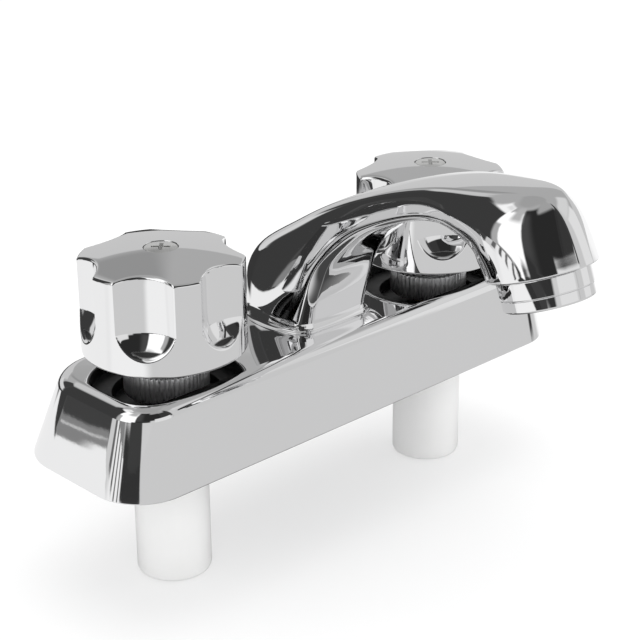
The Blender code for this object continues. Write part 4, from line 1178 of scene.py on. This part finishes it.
# Lit patches of the studio, as they lie in the plating. Headings are degrees counter-clockwise
# from the front right corner of the room, where no patch crosses; then come the reach (the
# elevation in degrees on the wall, the distance in metres on the table), the brightness, and how
# soft the sides and the ends are.
WALL_LIGHT = 0.43
WALL_PATCHES = {
    "far_wall": (34, 150, -20, 24.5, 0.60, 3, 0.5),
    "far_wall_shade": (115, 133, 26, 50, 0.31, 3, 3),
    "right_panel": (13, 41, -20, 31, 0.80, 3, 2),
    "right_corner": (0.5, 16, -20, 48, 0.62, 2, 3),
    "right_top": (14, 56, 31, 48, 0.70, 4, 3),
    "curtain_edge": (350, 359.5, 16, 62, 0.05, 1.5, 4),
    "curtain": (326, 352, 21, 55, 0.040, 2, 3),
    "dark_room": (262, 328, 12, 66, 0.024, 2, 3),
    "dark_room_end": (300, 345, 57, 80, 0.38, 5, 3),
    "dark_room_left": (252, 280, 12, 58, 0.065, 8, 8),
    "dark_room_foot": (256, 300, 1.5, 14, 0.035, 3, 1.5),
    "dark_room_step": (294, 314, 8, 14, 0.030, 5, 3),
    "skirting": (278, 359.5, -20, 3, 0.66, 2, 2),
    "front_panel": (300, 359.5, -20, 14, 0.66, 3, 2),
    "front_window": (311, 354, -20, 22, 0.80, 2, 1.5),
    "rear_window": (146, 172, -3, 13, 0.70, 2, 2),
    "rear_door": (174, 214, -20, 54, 0.045, 3, 1.5),
    "rear_door_side": (156, 176, 13, 38, 0.05, 2, 2),
    "rear_strip": (138, 169, 39, 56, 0.60, 3, 2),
    "rear_lamp": (186, 219, 53, 67, 1.0, 4, 2),
    "left_lamp": (195, 215, 60, 66, 0.8, 4, 2),
    "left_softbox": (225, 263, 7, 60, 1.20, 2, 3),
    "left_softbox_foot": (225, 255, 0.5, 8, 1.20, 2, 1.5),
    "left_softbox_top": (214, 240, 33, 58, 1.20, 2, 3),
    "left_softbox_edge": (234, 262, 44, 70, 0.5, 8, 6),
    "left_gap": (243, 281, -20, 0.5, 0.035, 2, 1),
    "left_gap_top": (254, 281, -2, 5, 0.05, 2, 1.5),
    "left_gap_edge": (224, 241, -20, 0.5, 0.24, 2, 1),
    "ceiling": (-1, 361, 72, 100, 0.37, 1, 3),
}
TABLE_LIGHT = 0.64
TABLE_PATCHES = {
    "left_part": (220, 264, 0, 9, 0.95, 6, 0.01),
    "right_part": (57, 101, 0, 9, 1.02, 6, 0.01),
    "rear_part": (112, 222, 0, 0.385, 0.92, 6, 0.006),
    "rear_gap": (112, 199, 0.365, 9, 0.045, 2, 0.01),
    "rear_gap_near": (112, 172, 0.27, 9, 0.040, 3, 0.02),
    "rear_left_edge": (195.5, 206, 0.385, 9, 0.24, 1, 0.004),
    "rear_left_line": (199, 204, 0.437, 0.446, 0.62, 1, 0.004),
    "rear_left_gap": (195, 205, 0.475, 9, 0.055, 1.5, 0.008),
    "rear_left_step": (203.5, 215, 0.30, 0.412, 0.92, 1, 0.006),
    "left_stripe": (216, 221, 0.50, 9, 0.14, 1, 0.05),
    "left_stripe_2": (225, 228, 0.50, 9, 0.10, 1, 0.05),
    "left_stripe_3": (232, 234.5, 0.50, 9, 0.16, 0.8, 0.05),
    "left_stripe_4": (239, 241, 0.55, 9, 0.10, 0.8, 0.05),
    "left_gap": (244, 281, 0.66, 9, 0.035, 1.5, 0.05),
    "front_right_block": (32.5, 41.5, 0.25, 0.35, 0.04, 2, 0.02),
    "own_shade": (-1, 361, -1, 0.085, 0.06, 6, 0.02),
}
FRONT_RIGHT_CORNER = radians(-62.0)
FLOOR_GAP = 0.0002
TABLE_GAP = 0.0001


class FAUCET_OT_stage(bpy.types.Operator):
    """Set the pale floor, the studio walls, the lamps and the camera"""
    bl_idname = "faucet.stage"
    bl_label = "Studio"

    def execute(self, context):
        look = context.scene.faucet_stage
        ground = context.scene.faucet_waterway.shank_end
        self.floor(look, ground)
        self.room(look, ground)
        self.lamps(context, look)
        self.world(context, look)
        self.camera(context)
        return {"FINISHED"}

    def floor(self, look, ground):
        floor = started("floor", bpy.ops.mesh.primitive_circle_add, vertices=128,
                        radius=look.floor_radius, fill_type="NGON")
        shifted(floor, z=ground - FLOOR_GAP)
        material, graph = new_finish("floor_paper")
        paper = graph.node("BsdfDiffuse", None, {
            "Color": graph.tint(graph.noise(9.0, 3.0), look.floor_colour, 0.985, 1.0)})
        surface = graph.node("MixShader", None, {
            0: graph.seen() * look.floor_lift, 1: paper, 2: graph.glow(WHITE)})
        graph.show(surface)
        floor.data.materials.append(material)

    def room(self, look, ground):
        """Round wall and table that only the plating mirrors, dark with lighter patches."""
        height = ground - TABLE_GAP
        wall = started("studio_wall", bpy.ops.mesh.primitive_uv_sphere_add, segments=96,
                       ring_count=48, radius=look.room_radius)
        edit(wall)
        bpy.ops.mesh.bisect(plane_co=(0.0, 0.0, height - 0.01), plane_no=(0.0, 0.0, 1.0),
                            clear_inner=True)
        leave_edit(wall)
        table = started("studio_table", bpy.ops.mesh.primitive_circle_add, vertices=96,
                        radius=look.room_radius, fill_type="NGON")
        shifted(table, z=height)
        for piece, light, patches in ((wall, WALL_LIGHT, WALL_PATCHES),
                                      (table, TABLE_LIGHT, TABLE_PATCHES)):
            material, graph = new_finish(piece.name)
            x = graph.node("SeparateXYZ", None, {0: graph.place()}, output="X")
            y, z = x.part("Y"), x.part("Z")
            turn = FRONT_RIGHT_CORNER + pi
            across = y * cos(turn) - x * sin(turn)
            along = x * cos(turn) + y * sin(turn)
            heading = graph.angle(across, along) + 180.0
            distance = (x * x + y * y) ** 0.5
            reach = distance if piece is table else graph.angle(z, distance)
            for start, stop, near, far, level, soft_side, soft_end in patches.values():
                inside = (graph.step(heading, start - soft_side, start + soft_side) *
                          graph.step(heading, stop + soft_side, stop - soft_side) *
                          graph.step(reach, near - soft_end, near + soft_end) *
                          graph.step(reach, far + soft_end, far - soft_end))
                light = light + (level - light) * inside
            colour = graph.node("CombineColor", None, {0: light, 1: light, 2: light})
            graph.show(graph.glow(colour))
            piece.data.materials.append(material)
            for ray in ("camera", "diffuse", "shadow", "transmission"):
                setattr(piece, "visible_" + ray, False)

    def lamps(self, context, look):
        for name, place, size, share in (
                ("overhead_lamp", (0.1, 0.1, 1.3), 1.4, 1.0),
                ("front_lamp", (-0.9, -0.9, 0.7), 1.0, 0.4),
                ("side_lamp", (1.0, -0.7, 0.6), 1.0, 0.3)):
            light = bpy.data.lights.new(name, "AREA")
            light.shape = "DISK"
            light.size = size
            light.energy = look.lamp_power * share
            lamp = bpy.data.objects.new(name, light)
            context.scene.collection.objects.link(lamp)
            lamp.location = place
            lamp.rotation_euler = (-Vector(place)).to_track_quat("-Z", "Y").to_euler()
            lamp.visible_glossy = lamp.visible_camera = False

    def world(self, context, look):
        world = bpy.data.worlds.new("studio")
        context.scene.world = world
        world.use_nodes = True
        graph = Graph(world.node_tree)
        soft, white = (graph.node("Background", None, {
            "Color": WHITE, "Strength": strength}) for strength in (look.world_light, 1.0))
        mixed = graph.node("MixShader", None, {0: graph.seen(), 1: soft, 2: white})
        graph.show(mixed, "World")

    def camera(self, context):
        lens = bpy.data.cameras.new("camera")
        lens.lens = 95.90
        lens.sensor_width = 36.0
        lens.clip_start = 0.01
        camera = bpy.data.objects.new("camera", lens)
        context.scene.collection.objects.link(camera)
        camera.location = (-0.30556, -0.32174, 0.20424)
        camera.rotation_euler = [radians(a) for a in (67.4989, 0.3967, -44.1908)]
        context.scene.camera = camera
        context.scene.view_settings.view_transform = "Standard"


# Settings

def length(name, description, default):
    return FloatProperty(name=name, description=description, default=default, unit="LENGTH")


def share(name, description, default):
    return FloatProperty(name=name, description=description, default=default, min=0.0, max=1.0,
                         subtype="FACTOR")


def tone(name, description, *default):
    return FloatVectorProperty(name=name, description=description, default=default,
                               subtype="COLOR")


class CastingSettings(bpy.types.PropertyGroup):
    base_height: length("Base height", "From the deck to the flat top of the base", 0.0236)
    base_edge: length("Base edge", "Radius along the top edge of the base", 0.0032)
    foot_fillet: length("Foot fillet", "Radius where the spout stands on the base", 0.0014)


class KnobSettings(bpy.types.PropertyGroup):
    knob_radius: length("Radius", "Outside of the knob between two flutes",
                        cad_size("hot_knob").x / 2)
    knob_bottom: length("Bottom", "Height of the knob's lower edge", 0.0283)
    knob_rim: length("Rim", "Height of the rim of the crown", 0.0530)
    knob_crown: length("Crown", "How far the top bulges over its rim", 0.0028)
    knob_edge: length("Edge", "Radius along the rim", 0.0007)
    flute_radius: length("Flute radius", "Radius of each upright flute", 0.01172)
    flute_end: length("Flute end", "Height at which the flute turns into its scoop", 0.0391)
    scoop_radius: length("Scoop radius", "Radius of the round end of a flute", 0.0122)
    collar_radius: length("Collar radius", "Outside of the ribbed collar", 0.0114)
    rib_count: IntProperty(name="Ribs", description="Ribs round each collar", default=48, min=8)
    rib_depth: length("Rib depth", "How far the ribs stand out", 0.0008)


class WaterwaySettings(bpy.types.PropertyGroup):
    shank_end: length("Shank end", "Height of the lower end of the shanks",
                      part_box("waterway_underbody")[0].z)


class NozzleSettings(bpy.types.PropertyGroup):
    nozzle_radius: length("Nozzle radius", "Outside of the nozzle ring", 0.0118)
    nozzle_length: length("Nozzle length", "How far the ring hangs below the head's rim", 0.0080)


class FinishSettings(bpy.types.PropertyGroup):
    chrome_colour: tone("Chrome", "Colour of the plating", 0.90, 0.90, 0.905)
    chrome_roughness: share("Chrome roughness", "How dull the plating is", 0.02)
    rolled_roughness: share("Rib roughness", "Roughness of the ribs on the collars", 0.27)
    # Painted shade: the dark colour inside the knobs stands for the shade in their hollows.
    hollow_shade_colour: tone("Bare casting", "Colour of the metal inside the knobs", 0.09, 0.09, 0.09)
    plastic_colour: tone("White plastic", "Colour of the waterway and the shanks",
                         0.93, 0.93, 0.925)
    insert_colour: tone("Grey plastic", "Colour of the honeycomb insert", 0.55, 0.56, 0.57)
    foam_colour: tone("Foam", "Colour of the deck gasket", 0.20, 0.20, 0.21)
    steel_colour: tone("Steel", "Colour of the screws", 0.80, 0.80, 0.79)
    rubber_colour: tone("Rubber", "Colour of the seals", 0.03, 0.03, 0.03)
    brass_colour: tone("Brass", "Colour of the cartridges and stems", 0.78, 0.60, 0.30)
    ceramic_colour: tone("Ceramic", "Colour of the valve discs", 0.88, 0.87, 0.84)


class StageSettings(bpy.types.PropertyGroup):
    floor_colour: tone("Floor", "Colour of the floor", 0.93, 0.93, 0.93)
    floor_radius: length("Floor radius", "How far the floor reaches", 4.0)
    floor_lift: share("Floor lift", "Share of plain white in the floor as it is seen", 0.5)
    room_radius: length("Room radius", "Radius of the round studio wall", 1.5)
    lamp_power: FloatProperty(name="Lamp power", description="Watts of the overhead lamp",
                              default=7.0)
    world_light: FloatProperty(name="Room light", description="Strength of the even light",
                               default=0.90)


OPERATORS = (
    FAUCET_OT_casting,
    FAUCET_OT_knobs,
    FAUCET_OT_knob_screws,
    FAUCET_OT_collars,
    FAUCET_OT_waterway,
    FAUCET_OT_underbody_screws,
    FAUCET_OT_nozzle,
    FAUCET_OT_finishes,
    FAUCET_OT_stage,
)

SETTINGS = {
    "faucet_casting": CastingSettings,
    "faucet_knobs": KnobSettings,
    "faucet_waterway": WaterwaySettings,
    "faucet_nozzle": NozzleSettings,
    "faucet_finishes": FinishSettings,
    "faucet_stage": StageSettings,
}


class FAUCET_PT_panel(bpy.types.Panel):
    """Steps that build the faucet, in their order"""
    bl_idname = "FAUCET_PT_panel"
    bl_label = "Centerset Faucet"
    bl_space_type = "VIEW_3D"
    bl_region_type = "UI"
    bl_category = "Faucet"

    def draw(self, context):
        for operator in OPERATORS:
            self.layout.operator(operator.bl_idname)
        for name, group in SETTINGS.items():
            box = self.layout.box()
            for prop in group.__annotations__:
                box.prop(getattr(context.scene, name), prop)


def register():
    for group in SETTINGS.values():
        bpy.utils.register_class(group)
    for name, group in SETTINGS.items():
        setattr(bpy.types.Scene, name, PointerProperty(type=group))
    for item in (*OPERATORS, FAUCET_PT_panel):
        bpy.utils.register_class(item)


def unregister():
    for item in reversed((*OPERATORS, FAUCET_PT_panel)):
        bpy.utils.unregister_class(item)
    for name, group in SETTINGS.items():
        delattr(bpy.types.Scene, name)
        bpy.utils.unregister_class(group)


def main():
    register()
    bpy.ops.faucet.casting()
    bpy.ops.faucet.knobs()
    bpy.ops.faucet.knob_screws()
    bpy.ops.faucet.collars()
    bpy.ops.faucet.waterway()
    bpy.ops.faucet.underbody_screws()
    bpy.ops.faucet.nozzle()
    bpy.ops.faucet.finishes()
    bpy.ops.faucet.stage()


if __name__ == "__main__":
    main()
